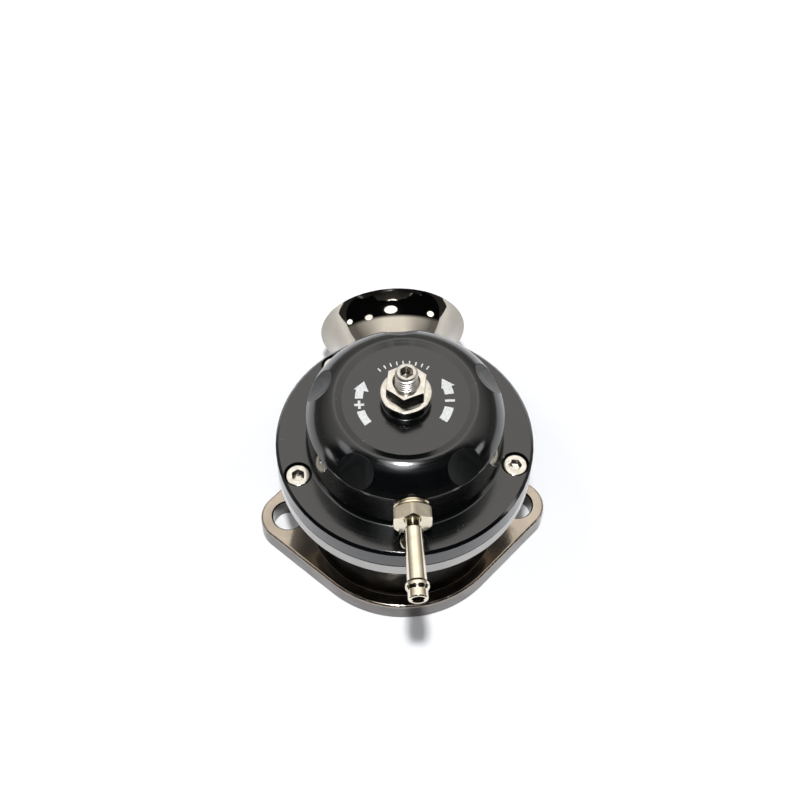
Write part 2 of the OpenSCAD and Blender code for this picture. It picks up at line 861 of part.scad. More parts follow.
valve_body();
lower_housing();
guide_bush();
cover();
cover_screws();
diaphragm();
trumpet();
trumpet_o_ring();
trumpet_set_screws();
vacuum_nipple();
adjuster_screw();
adjuster_seal();
lock_nut();
spring_seat();
main_spring();
upper_plate();
lower_plate();
stem_nut();
stem_washer();
valve_stem();
valve_head();
valve_seal();
head_screw();
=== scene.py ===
import math
from types import SimpleNamespace

import bmesh
import bpy
from mathutils import Matrix, Vector


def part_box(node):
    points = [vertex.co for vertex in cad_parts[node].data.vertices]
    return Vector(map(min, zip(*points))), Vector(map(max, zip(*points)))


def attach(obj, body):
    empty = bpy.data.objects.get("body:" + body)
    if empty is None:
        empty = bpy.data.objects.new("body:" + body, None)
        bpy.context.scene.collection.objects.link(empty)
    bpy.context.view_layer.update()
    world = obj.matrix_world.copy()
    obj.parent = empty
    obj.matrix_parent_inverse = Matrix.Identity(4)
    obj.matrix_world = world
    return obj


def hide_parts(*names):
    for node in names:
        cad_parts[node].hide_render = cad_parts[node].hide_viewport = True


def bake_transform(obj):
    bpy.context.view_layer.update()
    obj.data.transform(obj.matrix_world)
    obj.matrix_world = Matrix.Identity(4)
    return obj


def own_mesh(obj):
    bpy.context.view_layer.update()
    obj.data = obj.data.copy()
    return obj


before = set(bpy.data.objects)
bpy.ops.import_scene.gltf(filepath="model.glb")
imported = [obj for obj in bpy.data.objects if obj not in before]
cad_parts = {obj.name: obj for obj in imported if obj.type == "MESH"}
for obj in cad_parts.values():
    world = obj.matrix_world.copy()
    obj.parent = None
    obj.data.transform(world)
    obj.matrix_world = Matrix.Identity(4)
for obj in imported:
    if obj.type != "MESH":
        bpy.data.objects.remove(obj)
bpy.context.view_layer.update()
scene = bpy.context.scene
mm = 0.001  # sizes below are in millimetres, Blender's in metres
fullTurn = 2 * math.pi


def boxInMm(node):
    low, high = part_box(node)
    return low / mm, high / mm


trumpetLow, trumpetHigh = boxInMm("trumpet")
nippleLow, nippleHigh = boxInMm("vacuum_nipple")
outletHeight = (trumpetLow.z + trumpetHigh.z) / 2
nippleHeight = (nippleLow.z + nippleHigh.z) / 2
nippleFlat = 26.3  # from the valve axis to the flat that the nipple seats on


def named(sizes):
    # a dictionary's entries as names
    return SimpleNamespace(**sizes)


# Materials

def linear(hexColour):
    # sRGB hex to the linear colour that a socket takes
    def channel(start):
        value = int(hexColour[start:start + 2], 16) / 255
        return value / 12.92 if value <= 0.04045 else ((value + 0.055) / 1.055) ** 2.4
    return channel(1), channel(3), channel(5), 1


def addNode(tree, kind, settings=None, links=None):
    # settings name the node's options or its sockets; links give a socket its source node and output
    node = tree.nodes.new("ShaderNode" + kind)
    for key, value in (settings or {}).items():
        if isinstance(key, str) and hasattr(node, key):
            setattr(node, key, value)
        else:
            node.inputs[key].default_value = value
    for key, (source, output) in (links or {}).items():
        tree.links.new(source.outputs[output], node.inputs[key])
    return node


def newMaterial(name, settings):
    material = bpy.data.materials.new(name)
    material.use_nodes = True
    shader = material.node_tree.nodes["Principled BSDF"]
    for socket, value in settings.items():
        shader.inputs[socket].default_value = value
    return material, material.node_tree, shader


def placeInMm(tree, centre=(0, 0, 0)):
    # the point's place in millimetres, counted from a centre
    here = addNode(tree, "TexCoord")
    grown = addNode(tree, "VectorMath", {"operation": "SCALE", "Scale": 1 / mm}, {0: (here, "Object")})
    return addNode(tree, "VectorMath", {"operation": "SUBTRACT", 1: centre}, {0: (grown, 0)})


def latheTravel(tree, centre, across):
    # distance from the lathe's axis plus distance along it, so rings run round walls and faces alike
    place = placeInMm(tree, centre)
    along = [1 - share for share in across]
    flat = addNode(tree, "VectorMath", {"operation": "MULTIPLY", 1: across}, {0: (place, 0)})
    radius = addNode(tree, "VectorMath", {"operation": "LENGTH"}, {0: (flat, 0)})
    height = addNode(tree, "VectorMath", {"operation": "DOT_PRODUCT", 1: along}, {0: (place, 0)})
    return addNode(tree, "Math", {"operation": "ADD"}, {0: (radius, "Value"), 1: (height, "Value")})


def limits(low, high, start=0.35, end=0.65):
    # settings that turn start to end into low to high; most noise lies between the two defaults
    return {"From Min": start, "From Max": end, "To Min": low, "To Max": high}


def toneColour(tree, tone, colours):
    # slow noise that drifts between two colours
    first, second = (linear(colour) for colour in colours)
    share = addNode(tree, "MapRange", limits(0, 1), {"Value": (tone, 0)})
    return addNode(tree, "Mix", {"data_type": "RGBA", 6: first, 7: second}, {0: (share, 0)})


def feedShader(tree, shader, colour, shine, relief):
    for source, output, socket in ((colour, 2, "Base Color"), (shine, 0, "Roughness"), (relief, 0, "Normal")):
        tree.links.new(source.outputs[output], shader.inputs[socket])


reliefDepth = {"ring": 0.02, "wave": 0.1, "pit": 0.02, "grain": 0.03}  # mm, at a relief of one


def turnedFinish(name, look, centre=(0, 0, 0), across=(1, 1, 0)):
    # a turned metal surface: fine tool rings with uneven shine, and slow changes of tone
    material, tree, shader = newMaterial(name, look["surface"])
    travel = latheTravel(tree, centre, across)
    rings = addNode(tree, "TexNoise", {"noise_dimensions": "1D", "Scale": 1 / look["ringPitch"], "Detail": 3},
                    {"W": (travel, 0)})
    place = placeInMm(tree)
    tone = addNode(tree, "TexNoise", {"Scale": 1 / look["toneSize"], "Detail": 3}, {"Vector": (place, 0)})
    shine = addNode(tree, "MapRange", limits(*look["roughness"]), {"Value": (rings, 0)})
    relief = addNode(tree, "Bump", {"Strength": look["ringRelief"], "Distance": reliefDepth["ring"] * mm},
                     {"Height": (rings, 0)})
    feedShader(tree, shader, toneColour(tree, tone, look["colours"]), shine, relief)
    return material, tree, shader, place


def dust(tree, shader, place, cell, share, radius, colour):
    # a few pale specks: one small dot in some of the cells
    cells = addNode(tree, "TexVoronoi", {"Scale": 1 / cell}, {"Vector": (place, 0)})
    pick = addNode(tree, "SeparateColor", {}, {0: (cells, "Color")})
    chosen = addNode(tree, "Math", {"operation": "LESS_THAN", 1: share}, {0: (pick, 0)})
    near = addNode(tree, "Math", {"operation": "LESS_THAN", 1: radius / cell}, {0: (cells, "Distance")})
    speck = addNode(tree, "Math", {"operation": "MULTIPLY"}, {0: (chosen, 0), 1: (near, 0)})
    under = shader.inputs["Base Color"].links[0].from_socket
    dusted = addNode(tree, "Mix", {"data_type": "RGBA", 7: linear(colour)}, {0: (speck, 0)})
    tree.links.new(under, dusted.inputs[6])
    tree.links.new(dusted.outputs[2], shader.inputs["Base Color"])


# Black anodised alloy: deep black with a clear satin shine, faint lathe rings and settled dust. The oxide
# mirrors more than paint does. The rings are drawn at 0.5 mm, about four times the real feed, because finer
# ones vanish in the picture.
anodisedLook = {"surface": {"Specular IOR Level": 0.72}, "colours": ("#050606", "#090a0b"), "toneSize": 9,
                "ringPitch": 0.5, "ringRelief": 0.04, "roughness": (0.12, 0.18)}
# The same oxide on the milled scallops: a cutter's duller face that spreads the light.
milledLook = {"surface": {"Specular IOR Level": 0.45}, "colours": ("#050606", "#090a0b"), "toneSize": 4,
              "ringPitch": 0.35, "ringRelief": 0.08, "roughness": (0.36, 0.46)}
dustLook = {"cell": 1.7, "share": 0.3, "radius": 0.09, "colour": "#8c8d8a"}


def blackAnodised(name, look):
    material, tree, shader, place = turnedFinish(name, look)
    dust(tree, shader, place, **dustLook)
    return material


metal = {"Metallic": 1}

# Black nickel over a polished casting: a smoky warm mirror, slightly wavy, with pits the polish left.
# The flange's side is plainer and its top edge is rough. The unpolished wall and bores are dull and nearly
# black: partly their dull cast finish, partly painted shade standing in for the dark under the cover's rim.
bodyNickelLook = {"colours": ("#a0968a", "#91887c"), "toneSize": 7, "roughness": (0.06, 0.14),
                  "waveSize": 4.5, "waveRelief": 0.10, "pitSize": 0.55, "pitRelief": 0.12,
                  "pitRange": (0.52, 0.7), "polished": (6.4, 7.2), "sideFade": 0.3, "wallFade": 0.03,
                  "edgeTop": 7.15, "edgeFade": 0.05, "edgeRelief": 3,
                  "sideColours": ("#706d6a", "#64615e"), "sideRoughness": (0.16, 0.26),
                  # the wall's near-black colours are partly painted shade, the dark that falls under the
                  # cover's rim
                  "wallColours": ("#25211d", "#15120f"), "wallRoughness": (0.55, 0.8)}
hornNickelLook = {"colours": ("#b2aca2", "#a8a298"), "toneSize": 9, "roughness": (0.03, 0.08),
                  "waveSize": 7, "waveRelief": 0.05, "pitSize": 0.55, "pitRelief": 0.05,
                  "pitRange": (0.62, 0.75)}
# The same plating on the turned rim under the cover: plainer and greyer.
rimNickelLook = {"colours": ("#a9a7a4", "#9d9b98"), "toneSize": 12, "roughness": (0.07, 0.13),
                 "waveSize": 9, "waveRelief": 0.03, "pitSize": 0.5, "pitRelief": 0.05,
                 "pitRange": (0.62, 0.75)}


def blackNickel(name, look):
    material, tree, shader = newMaterial(name, metal)
    place = placeInMm(tree)
    tone = addNode(tree, "TexNoise", {"Scale": 1 / look["toneSize"], "Detail": 4}, {"Vector": (place, 0)})
    colour = toneColour(tree, tone, look["colours"])
    shine = addNode(tree, "MapRange", limits(*look["roughness"]), {"Value": (tone, 0)})
    wave = addNode(tree, "TexNoise", {"Scale": 1 / look["waveSize"], "Detail": 1}, {"Vector": (place, 0)})
    pits = addNode(tree, "TexNoise", {"Scale": 1 / look["pitSize"], "Detail": 2}, {"Vector": (place, 0)})
    pitRelief = look["pitRelief"]
    if "polished" in look:
        # the casting's finish goes by height: side, polished top, and a dull wall whose near-black is partly
        # painted shade
        low, high = look["polished"]
        rough = look["edgeTop"] - look["edgeFade"], look["edgeTop"]
        height = addNode(tree, "SeparateXYZ", {}, {0: (place, 0)})
        below = addNode(tree, "MapRange", limits(1, 0, low - look["sideFade"], low), {"Value": (height, "Z")})
        dullWallAndShadeMask = addNode(tree, "MapRange", limits(0, 1, high, high + look["wallFade"]), {"Value": (height, "Z")})
        edge = addNode(tree, "MapRange", limits(look["edgeRelief"], pitRelief, *rough),
                       {"Value": (height, "Z")})
        edge = addNode(tree, "Mix", {3: pitRelief}, {0: (below, 0), 2: (edge, 0)})
        pitted = addNode(tree, "MapRange", limits(0, 1, *look["pitRange"]), {"Value": (pits, 0)})
        pitted = addNode(tree, "Math", {"operation": "MULTIPLY"}, {0: (pitted, 0), 1: (edge, 0)})
        for part, mask in (("side", below), ("wall", dullWallAndShadeMask)):
            plain = toneColour(tree, tone, look[part + "Colours"])
            soft = addNode(tree, "MapRange", limits(*look[part + "Roughness"]), {"Value": (tone, 0)})
            colour = addNode(tree, "Mix", {"data_type": "RGBA"}, {0: (mask, 0), 6: (colour, 2), 7: (plain, 2)})
            shine = addNode(tree, "Mix", {}, {0: (mask, 0), 2: (shine, 0), 3: (soft, 0)})
    else:
        pitted = addNode(tree, "MapRange", limits(0, pitRelief, *look["pitRange"]), {"Value": (pits, 0)})
    waves = addNode(tree, "Bump", {"Strength": look["waveRelief"], "Distance": reliefDepth["wave"] * mm},
                    {"Height": (wave, 0)})
    relief = addNode(tree, "Bump", {"Strength": 1, "Distance": reliefDepth["pit"] * mm, "invert": True},
                     {"Height": (pitted, 0), "Normal": (waves, 0)})
    feedShader(tree, shader, colour, shine, relief)
    return material


# Bright zinc on steel screws: light grey, a little cloudy, with faint rings from turning.
steelLook = {"surface": metal, "colours": ("#cac6be", "#b8b4ab"), "toneSize": 1.6,
             "ringPitch": 0.3, "ringRelief": 0.08, "roughness": (0.08, 0.16)}
# The same zinc on rolled threads: duller, so each ridge shows as a line.
threadLook = {"surface": metal, "colours": ("#c6c2bb", "#aca8a0"), "toneSize": 1.2,
              "ringPitch": 0.3, "ringRelief": 0.08, "roughness": (0.34, 0.44)}
# Nickel on turned brass: warm, bright and smooth, with rings along the hose tube.
nippleLook = {"surface": metal, "colours": ("#dfd6c3", "#d2c8b2"), "toneSize": 3,
              "ringPitch": 0.35, "ringRelief": 0.08, "roughness": (0.10, 0.18)}
# Plain turned alloy: mid grey with open lathe rings.
alloyLook = {"surface": metal, "colours": ("#babcbe", "#a6a8aa"), "toneSize": 5,
             "ringPitch": 0.4, "ringRelief": 0.25, "roughness": (0.25, 0.42)}
# Drawn spring steel: grey with long marks from the die.
springLook = {"surface": metal, "colours": ("#9a9da1", "#7e8185"), "toneSize": 2,
              "ringPitch": 0.25, "ringRelief": 0.12, "roughness": (0.22, 0.36)}
# Black oxide on steel: nearly black, dull, brown where it is thin.
oxideLook = {"surface": metal, "colours": ("#2c2b2c", "#3b3531"), "toneSize": 0.8,
             "ringPitch": 0.25, "ringRelief": 0.15, "roughness": (0.38, 0.52)}
# Sintered bronze: warm and matt, with open pores.
bronzeLook = {"surface": metal, "colours": ("#b18a50", "#8e6c3c"), "toneSize": 0.4,
              "ringPitch": 0.3, "ringRelief": 0.2, "roughness": (0.36, 0.55)}


# Moulded rubber: black, matt and faintly grained.
rubberLook = {"colours": ("#131313", "#1d1d1c"), "toneSize": 4, "grainSize": 0.25, "grainRelief": 0.3,
              "roughness": (0.6, 0.78)}
# White pad-print ink: a thin, even white with a slightly broken cover.
inkLook = {"colours": ("#dcdcd9", "#c6c7c4"), "toneSize": 0.5, "grainSize": 0.15, "grainRelief": 0.1,
           "roughness": (0.4, 0.55)}


def grainedFinish(name, look):
    material, tree, shader = newMaterial(name, {})
    place = placeInMm(tree)
    tone = addNode(tree, "TexNoise", {"Scale": 1 / look["toneSize"], "Detail": 3}, {"Vector": (place, 0)})
    grain = addNode(tree, "TexNoise", {"Scale": 1 / look["grainSize"], "Detail": 2}, {"Vector": (place, 0)})
    shine = addNode(tree, "MapRange", limits(*look["roughness"]), {"Value": (grain, 0)})
    relief = addNode(tree, "Bump", {"Strength": look["grainRelief"], "Distance": reliefDepth["grain"] * mm},
                     {"Height": (grain, 0)})
    feedShader(tree, shader, toneColour(tree, tone, look["colours"]), shine, relief)
    return material


anodised = blackAnodised("black_anodised_turned_aluminium", anodisedLook)
milled = blackAnodised("black_anodised_milled_aluminium", milledLook)
bodyNickel = blackNickel("black_nickel_cast_body", bodyNickelLook)
hornNickel = blackNickel("black_nickel_polished_horn", hornNickelLook)
rimNickel = blackNickel("black_nickel_turned_rim", rimNickelLook)
brightSteel = turnedFinish("bright_zinc_plated_steel", steelLook)[0]
rolledSteel = turnedFinish("bright_zinc_rolled_thread", threadLook)[0]
nickelBrass = turnedFinish("nickel_plated_turned_brass", nippleLook, (0, 0, nippleHeight), (1, 0, 1))[0]
plainAlloy = turnedFinish("plain_turned_aluminium", alloyLook)[0]
springSteel = turnedFinish("drawn_spring_steel", springLook)[0]
blackOxide = turnedFinish("black_oxide_steel", oxideLook)[0]
bronze = turnedFinish("sintered_bronze", bronzeLook)[0]
rubber = grainedFinish("matt_moulded_rubber", rubberLook)
ink = grainedFinish("white_pad_print_ink", inkLook)
print("materials:", len(bpy.data.materials))


# Mesh building

def upright(x, y, z):
    return x, y, z


def alongOutlet(x, y, z):
    # local z runs out of the side outlet
    return x, z, outletHeight - y


def alongNipple(x, y, z):
    # local z runs out of the hose nipple, from the flat on the dome
    return x, -nippleFlat - z, nippleHeight + y


weld = 0.0005  # mm within which points are joined
past = 1       # mm that a cutter runs beyond what it cuts
closing = 1    # mm from a section's last point back to its first
facets = {"body": 160, "trumpet": 192, "outlet": 144, "nut": 144, "screw": 72, "headBore": 64, "tap": 48,
          "setScrew": 32, "coil": 48, "wire": 16}  # columns in one turn


def gridSolid(patches):
    # each patch is rings of points in mm, with a flag for rings that close and one for a closed set of rings
    solid = bmesh.new()
    for rings, ringsClose, setCloses in patches:
        rows = [[solid.verts.new(Vector(point) * mm) for point in loop] for loop in rings]
        count = len(rows[0])
        for low, high in zip(rows, rows[1:] + rows[:1] if setCloses else rows[1:]):
            for i in range(count if ringsClose else count - 1):
                k = (i + 1) % count
                solid.faces.new((low[i], low[k], high[k], high[i]))
    bmesh.ops.remove_doubles(solid, verts=solid.verts, dist=weld * mm)
    bmesh.ops.recalc_face_normals(solid, faces=solid.faces)
    return solid


def roundOff(corners, steps=4):
    # an open section of (radius, height) corners; a third number rounds that corner
    points = []
    for i, corner in enumerate(corners):
        here = Vector(corner[:2])
        if len(corner) == 2:
            points.append(tuple(here))
            continue
        before = (Vector(corners[i - 1][:2]) - here).normalized()
        after = (Vector(corners[i + 1][:2]) - here).normalized()
        half = before.angle(after) / 2
        middle = here + (before + after).normalized() * corner[2] / math.sin(half)
        start = here + before * corner[2] / math.tan(half) - middle
        end = here + after * corner[2] / math.tan(half) - middle
        sweep = start.angle_signed(end)
        for step in range(steps + 1):
            turn = -sweep * step / steps
            points.append((middle.x + start.x * math.cos(turn) - start.y * math.sin(turn),
                           middle.y + start.x * math.sin(turn) + start.y * math.cos(turn)))
    return points


def evenRuns(start, end, count):
    return [start + (end - start) * i / (count - 1) for i in range(count)]


def arc(centre, radius, start, end, steps):
    # points of an arc between two angles in degrees
    turns = [math.radians(degrees) for degrees in evenRuns(start, end, steps + 1)]
    return [(centre[0] + radius * math.cos(t), centre[1] + radius * math.sin(t)) for t in turns]


def evenTurn(count):
    return [fullTurn * i / count for i in range(count)]


def around(size):
    # places evenly round the valve axis
    size = named(size)
    turns = [math.radians(size.first + 360 * i / size.count) for i in range(size.count)]
    return [(size.circle * math.cos(t), size.circle * math.sin(t)) for t in turns]


def movedTo(x, y):
    return lambda a, b, c: (a + x, b + y, c)


def ring(angles, reach, height, place=upright, turn=0):
    # points round an axis; reach is a radius or gives one by angle, height is a level or gives one by radius
    points = []
    for angle in angles:
        r = reach(angle) if callable(reach) else reach
        z = height(r) if callable(height) else height
        points.append(place(r * math.cos(angle + turn), r * math.sin(angle + turn), z))
    return points


def turnedSolid(section, place=upright, columns=facets["body"]):
    # a section of (radius, height) turned about the local z axis; it is closed, or starts and ends on the axis
    angles = evenTurn(columns)
    return gridSolid([([ring(angles, r, z, place) for r, z in section], True, section[0][0] > 0)])


def pin(radius, low, high):
    # section of a plain round cutter
    return [(0, low), (radius, low), (radius, high), (0, high)]


def hexEdge(angle, flats, corner=math.inf):
    # distance to a hexagon's side, with corners at 30 degrees and every 60 on, cut back to a circle
    sixth = (angle + math.pi / 6) % (math.pi / 3) - math.pi / 6
    return min(flats / 2 / math.cos(sixth), corner)


socketEdges = {"chamfer": 0.15, "floorInset": 0.25}


def socketRings(angles, flats, top, floor, cone, place=upright, turn=0):
    # a hexagon socket, from its drilled point up to the chamfer at its mouth
    def side(grow):
        return lambda angle: hexEdge(angle, flats) + grow
    chamfer = socketEdges["chamfer"]
    steps = [(0, floor - cone), (side(-socketEdges["floorInset"]), floor), (side(0), floor),
             (side(0), top - chamfer), (side(chamfer), top)]
    return [ring(angles, reach, z, place, turn) for reach, z in steps]


# depth is a share of the pitch, and the profile tells root from crest along one pitch
threadForm = {"depth": 0.45, "endGap": 0.1,
              "profile": ((0, "root"), (0.15, "root"), (0.42, "crest"), (0.78, "crest"), (1, "root"))}


def threadPatch(size, place, columns):
    # one helical rolled thread between two heights, cut back to a smaller circle at each end
    size = named(size)
    crest, pitch, low, high = size.radius, size.pitch, size.low, size.high
    root = crest - threadForm["depth"] * pitch
    end = root - threadForm["endGap"]
    turns = math.ceil((high - low) / pitch) + 2
    rows = []
    for share, level in threadForm["profile"]:
        row = []
        for i in range(columns * turns + 1):
            angle = fullTurn * i / columns
            z = min(max(low + pitch * (i / columns - 1 + share), low), high)
            r = min(crest if level == "crest" else root, end + (z - low), end + (high - z) * size.runout)
            row.append(place(r * math.cos(angle), r * math.sin(angle), z))
        rows.append(row)
    return (rows, False, False), end


def capped(rings):
    # closes both ends of a tube at the middle of its end rings
    def middle(points):
        return [tuple(sum(p[k] for p in points) / len(points) for k in range(3))] * len(points)
    return [middle(rings[0]), *rings, middle(rings[-1])]


def combine(solid, tool, operation="DIFFERENCE"):
    # one solid cut by another or joined to it
    things = []
    for part in (solid, tool):
        mesh = bpy.data.meshes.new("trial")
        part.to_mesh(mesh)
        part.free()
        thing = bpy.data.objects.new("trial", mesh)
        scene.collection.objects.link(thing)
        things.append(thing)
    step = things[0].modifiers.new("step", "BOOLEAN")
    step.operation = operation
    step.solver = "EXACT"
    step.object = things[1]
    result = bmesh.new()
    result.from_object(things[0], bpy.context.evaluated_depsgraph_get())
    for thing in things:
        bpy.data.meshes.remove(thing.data)
    return result


def gather(solids):
    # several separate solids in one mesh
    whole = bmesh.new()
    for solid in solids:
        mesh = bpy.data.meshes.new("trial")
        solid.to_mesh(mesh)
        solid.free()
        whole.from_mesh(mesh)
        bpy.data.meshes.remove(mesh)
    return whole


def softShade(mesh, angle):
    # smooth faces that break at edges sharper than the angle
    for face in mesh.polygons:
        face.use_smooth = True
    mesh.set_sharp_from_angle(angle=math.radians(angle))


def newPiece(name, solid, material, nodes=(), body="housing", angle=32):
    mesh = bpy.data.meshes.new(name)
    solid.to_mesh(mesh)
    solid.free()
    mesh.materials.clear()
    mesh.materials.append(material)
    softShade(mesh, angle)
    piece = bpy.data.objects.new(name, mesh)
    scene.collection.objects.link(piece)
    even = piece.modifiers.new("even_normals", "WEIGHTED_NORMAL")
    even.keep_sharp = True
    if body:
        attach(piece, body)
    if nodes:
        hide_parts(*nodes)
    print("piece:", name, len(mesh.polygons), "faces")
    return piece


# Cover: scalloped dome, dished top, boss and bolted rim

coverLow, coverHigh = boxInMm("cover")
coverSize = {"rimRadius": coverHigh.x, "joint": coverLow.z, "bossTop": coverHigh.z, "rimFace": 48.4,
             "rimEdge": 0.8, "domeRadius": 26.5, "domeFillet": 1.0, "top": 69.4, "shoulder": 7.3, "slope": 20,
             "lip": 0.5, "dishRadius": 16.9, "dishDepth": 0.6, "bossRadius": 6.3, "sealRadius": 4.65,
             "sealHeight": 70.54, "boreRadius": 3.05, "cavityRadius": 23.4, "roof": 65.0, "cavityRound": 4.6,
             "scallops": 5, "firstScallop": 90, "cutterRadius": 21.0, "cutterDepth": 1.0, "cutterSlope": 50,
             "wallRun": 6.0, "softEdge": 0.12, "lipStart": 0.1}
coverRounds = {"seal": 0.15, "boss": 0.35, "bossFoot": 0.3, "dish": 0.5, "lip": 0.25, "rim": 0.2, "joint": 0.3}
coverRows = {"shoulder": 12, "scallop": 17, "edge": 7, "wall": 6}
coverColumnCounts = {"halfScallop": 18, "plain": 10}
screwSize = {"count": 5, "first": -90, "circle": 31.0, "headRadius": 3.4, "headTop": 48.0, "headBase": 44.0,
             "tip": 37.0, "shank": 2.0, "flats": 3.0, "socketDepth": 2.0, "socketCone": 0.3, "headRound": 0.5,
             "headFoot": 0.15, "tipRound": 0.3, "boreRadius": 3.65, "boreEdge": 0.2, "holeRadius": 2.25,
             "tapRadius": 2.05, "tapEnds": (35, 43)}
nippleSeat = {"threadRadius": 4.82, "spotRadius": 6.5, "ends": (-2, 4)}

discRadius = coverSize["domeRadius"] - coverSize["shoulder"]
crownSlope = math.radians(coverSize["slope"])
crownRadius = coverSize["shoulder"] / math.sqrt(2) / math.sin(math.pi / 4 - crownSlope)
crownCentre = (discRadius - crownRadius * math.sin(crownSlope),
               coverSize["top"] - crownRadius * math.cos(crownSlope))
crownLength = crownRadius * (math.pi / 2 - 2 * crownSlope)
crownEnd = coverSize["lip"] + crownLength
cutterTilt = math.radians(coverSize["cutterSlope"])
cutterAxis = crownRadius - coverSize["cutterDepth"] + coverSize["cutterRadius"]
shoulderSteps = 300  # trial points along the shoulder
shoulderLength = crownEnd + coverSize["wallRun"]
shoulderRuns = evenRuns(0, shoulderLength, shoulderSteps + 1)
screwPlaces = around(screwSize)


def shoulderPoint(run):
    # a point on the lip, the crowned shoulder and the wall, by its distance from the lip's inner edge
    if run < coverSize["lip"]:
        return discRadius - coverSize["lip"] + run, coverSize["top"]
    if run < crownEnd:
        turn = crownSlope + (run - coverSize["lip"]) / crownRadius
        return crownCentre[0] + crownRadius * math.sin(turn), crownCentre[1] + crownRadius * math.cos(turn)
    return coverSize["domeRadius"], coverSize["top"] - coverSize["shoulder"] - (run - crownEnd)


def cutterGap(angle, point):
    # below zero inside a scallop's sloping cutter, for a point at an angle from the scallop's middle
    across = ((point[0] * math.cos(angle) - crownCentre[0]) * math.sin(cutterTilt)
              + (point[1] - crownCentre[1]) * math.cos(cutterTilt) - cutterAxis)
    return across ** 2 + (point[0] * math.sin(angle)) ** 2 - coverSize["cutterRadius"] ** 2


def cutterHeight(angle, radius):
    # height of the scallop's floor at a radius
    across = cutterAxis - math.sqrt(coverSize["cutterRadius"] ** 2 - (radius * math.sin(angle)) ** 2)
    outward = (radius * math.cos(angle) - crownCentre[0]) * math.sin(cutterTilt)
    return crownCentre[1] + (across - outward) / math.cos(cutterTilt)


def lastThat(passes, inner, outer, halvings=24):
    # the last value from inner towards outer that passes
    for _ in range(halvings):
        trial = (inner + outer) / 2
        if passes(trial):
            inner = trial
        else:
            outer = trial
    return inner


def scallopEnds(angle):
    # where a scallop starts and ends along the shoulder
    def isCut(run):
        return cutterGap(angle, shoulderPoint(run)) < 0
    inside = [run for run in shoulderRuns if isCut(run)]
    step = shoulderLength / shoulderSteps
    return inside and [lastThat(isCut, inside[0], inside[0] - step),
                       lastThat(isCut, inside[-1], inside[-1] + step)]


scallopHalf = lastThat(scallopEnds, 0, math.pi / coverSize["scallops"])  # widest angle on either side
scallopMiddle = sum(scallopEnds(scallopHalf)) / 2


def coverSection(angle):
    # the cover's whole section at an angle from the nearest scallop's middle
    size, rounds, rows = named(coverSize), named(coverRounds), named(coverRows)
    ends = scallopEnds(angle) if abs(angle) < scallopHalf else None
    first, last = ends or (scallopMiddle, scallopMiddle)
    start, stop = shoulderPoint(first), shoulderPoint(last)
    gap = math.dist(start, stop)
    corner = size.softEdge
    soft = min(corner, gap / 4)
    margin = soft / max(gap, 1e-6)
    dish = size.top - size.dishDepth
    inner = roundOff([
        (size.boreRadius, size.roof), (size.boreRadius, size.sealHeight), (size.sealRadius, size.sealHeight),
        (size.sealRadius, size.bossTop, rounds.seal), (size.bossRadius, size.bossTop, rounds.boss),
        (size.bossRadius, dish, rounds.bossFoot), (size.dishRadius, dish, rounds.dish),
        (discRadius - size.lip, size.top, rounds.lip), (discRadius - size.lip + size.lipStart, size.top)])
    upper = [size.lipStart, size.lip - corner]
    upper += evenRuns(size.lip + corner, first - soft, rows.shoulder)
    floor = []
    for share in evenRuns(margin, 1 - margin, rows.scallop):
        radius = start[0] + (stop[0] - start[0]) * share
        floor.append((radius, cutterHeight(angle, radius)) if ends else start)
    ridge = max(crownEnd - corner, last + soft + corner / 2)
    lower = evenRuns(last + soft, ridge, rows.edge)
    lower += evenRuns(max(crownEnd + corner, ridge + corner / 2), shoulderLength, rows.wall)
    outer = roundOff([
        shoulderPoint(shoulderLength), (size.domeRadius, size.rimFace, size.domeFillet),
        (size.rimRadius - size.rimEdge, size.rimFace, rounds.rim),
        (size.rimRadius, size.rimFace - size.rimEdge, rounds.rim), (size.rimRadius, size.joint, rounds.joint),
        (size.cavityRadius, size.joint), (size.cavityRadius, size.roof, size.cavityRound),
        (size.boreRadius + closing, size.roof)])
    return (inner[:-1] + [shoulderPoint(run) for run in upper] + floor
            + [shoulderPoint(run) for run in lower] + outer[1:])


def coverColumns():
    # angle round the axis, and from the nearest scallop, closer together near a scallop's ends
    half = math.pi / coverSize["scallops"]
    fine, coarse = coverColumnCounts["halfScallop"], coverColumnCounts["plain"]
    inside = [scallopHalf * math.sin(math.pi / 2 * (i / fine - 1)) for i in range(2 * fine + 1)]
    plain = [scallopHalf + (2 * half - 2 * scallopHalf) * i / coarse for i in range(1, coarse)]
    for k in range(coverSize["scallops"]):
        middle = math.radians(coverSize["firstScallop"]) + 2 * half * k
        for angle in inside:
            yield middle + angle, angle
        for angle in plain:
            yield middle + angle, scallopHalf


def coverSolid():
    columns = list(coverColumns())
    sections = {angle: coverSection(angle) for _, angle in columns}
    rings = []
    for i in range(len(sections[scallopHalf])):
        points = [(turn, *sections[angle][i]) for turn, angle in columns]
        rings.append([(r * math.cos(turn), r * math.sin(turn), z) for turn, r, z in points])
    return gridSolid([(rings, True, True)])


def screwCutters():
    size, face, foot = named(screwSize), coverSize["rimFace"], coverSize["joint"] - past
    section = [(0, foot), (size.holeRadius, foot), (size.holeRadius, size.headBase),
               (size.boreRadius, size.headBase), (size.boreRadius, face - size.boreEdge),
               (size.boreRadius + size.boreEdge + past, face + past), (0, face + past)]
    return [turnedSolid(section, movedTo(x, y), facets["headBore"]) for x, y in screwPlaces]


def nippleCutter():
    # hole for the nipple's thread and the flat that it seats on
    thread, spot, (inward, outward) = (nippleSeat[k] for k in ("threadRadius", "spotRadius", "ends"))
    foot = coverSize["cavityRadius"] - coverSize["domeRadius"] + inward
    section = [(0, foot), (thread, foot), (thread, 0), (spot, 0), (spot, outward), (0, outward)]
    return turnedSolid(section, alongNipple, facets["screw"])


coverPiece = newPiece("cover_scalloped", combine(coverSolid(), gather(screwCutters() + [nippleCutter()])),
                      anodised, ["cover"])

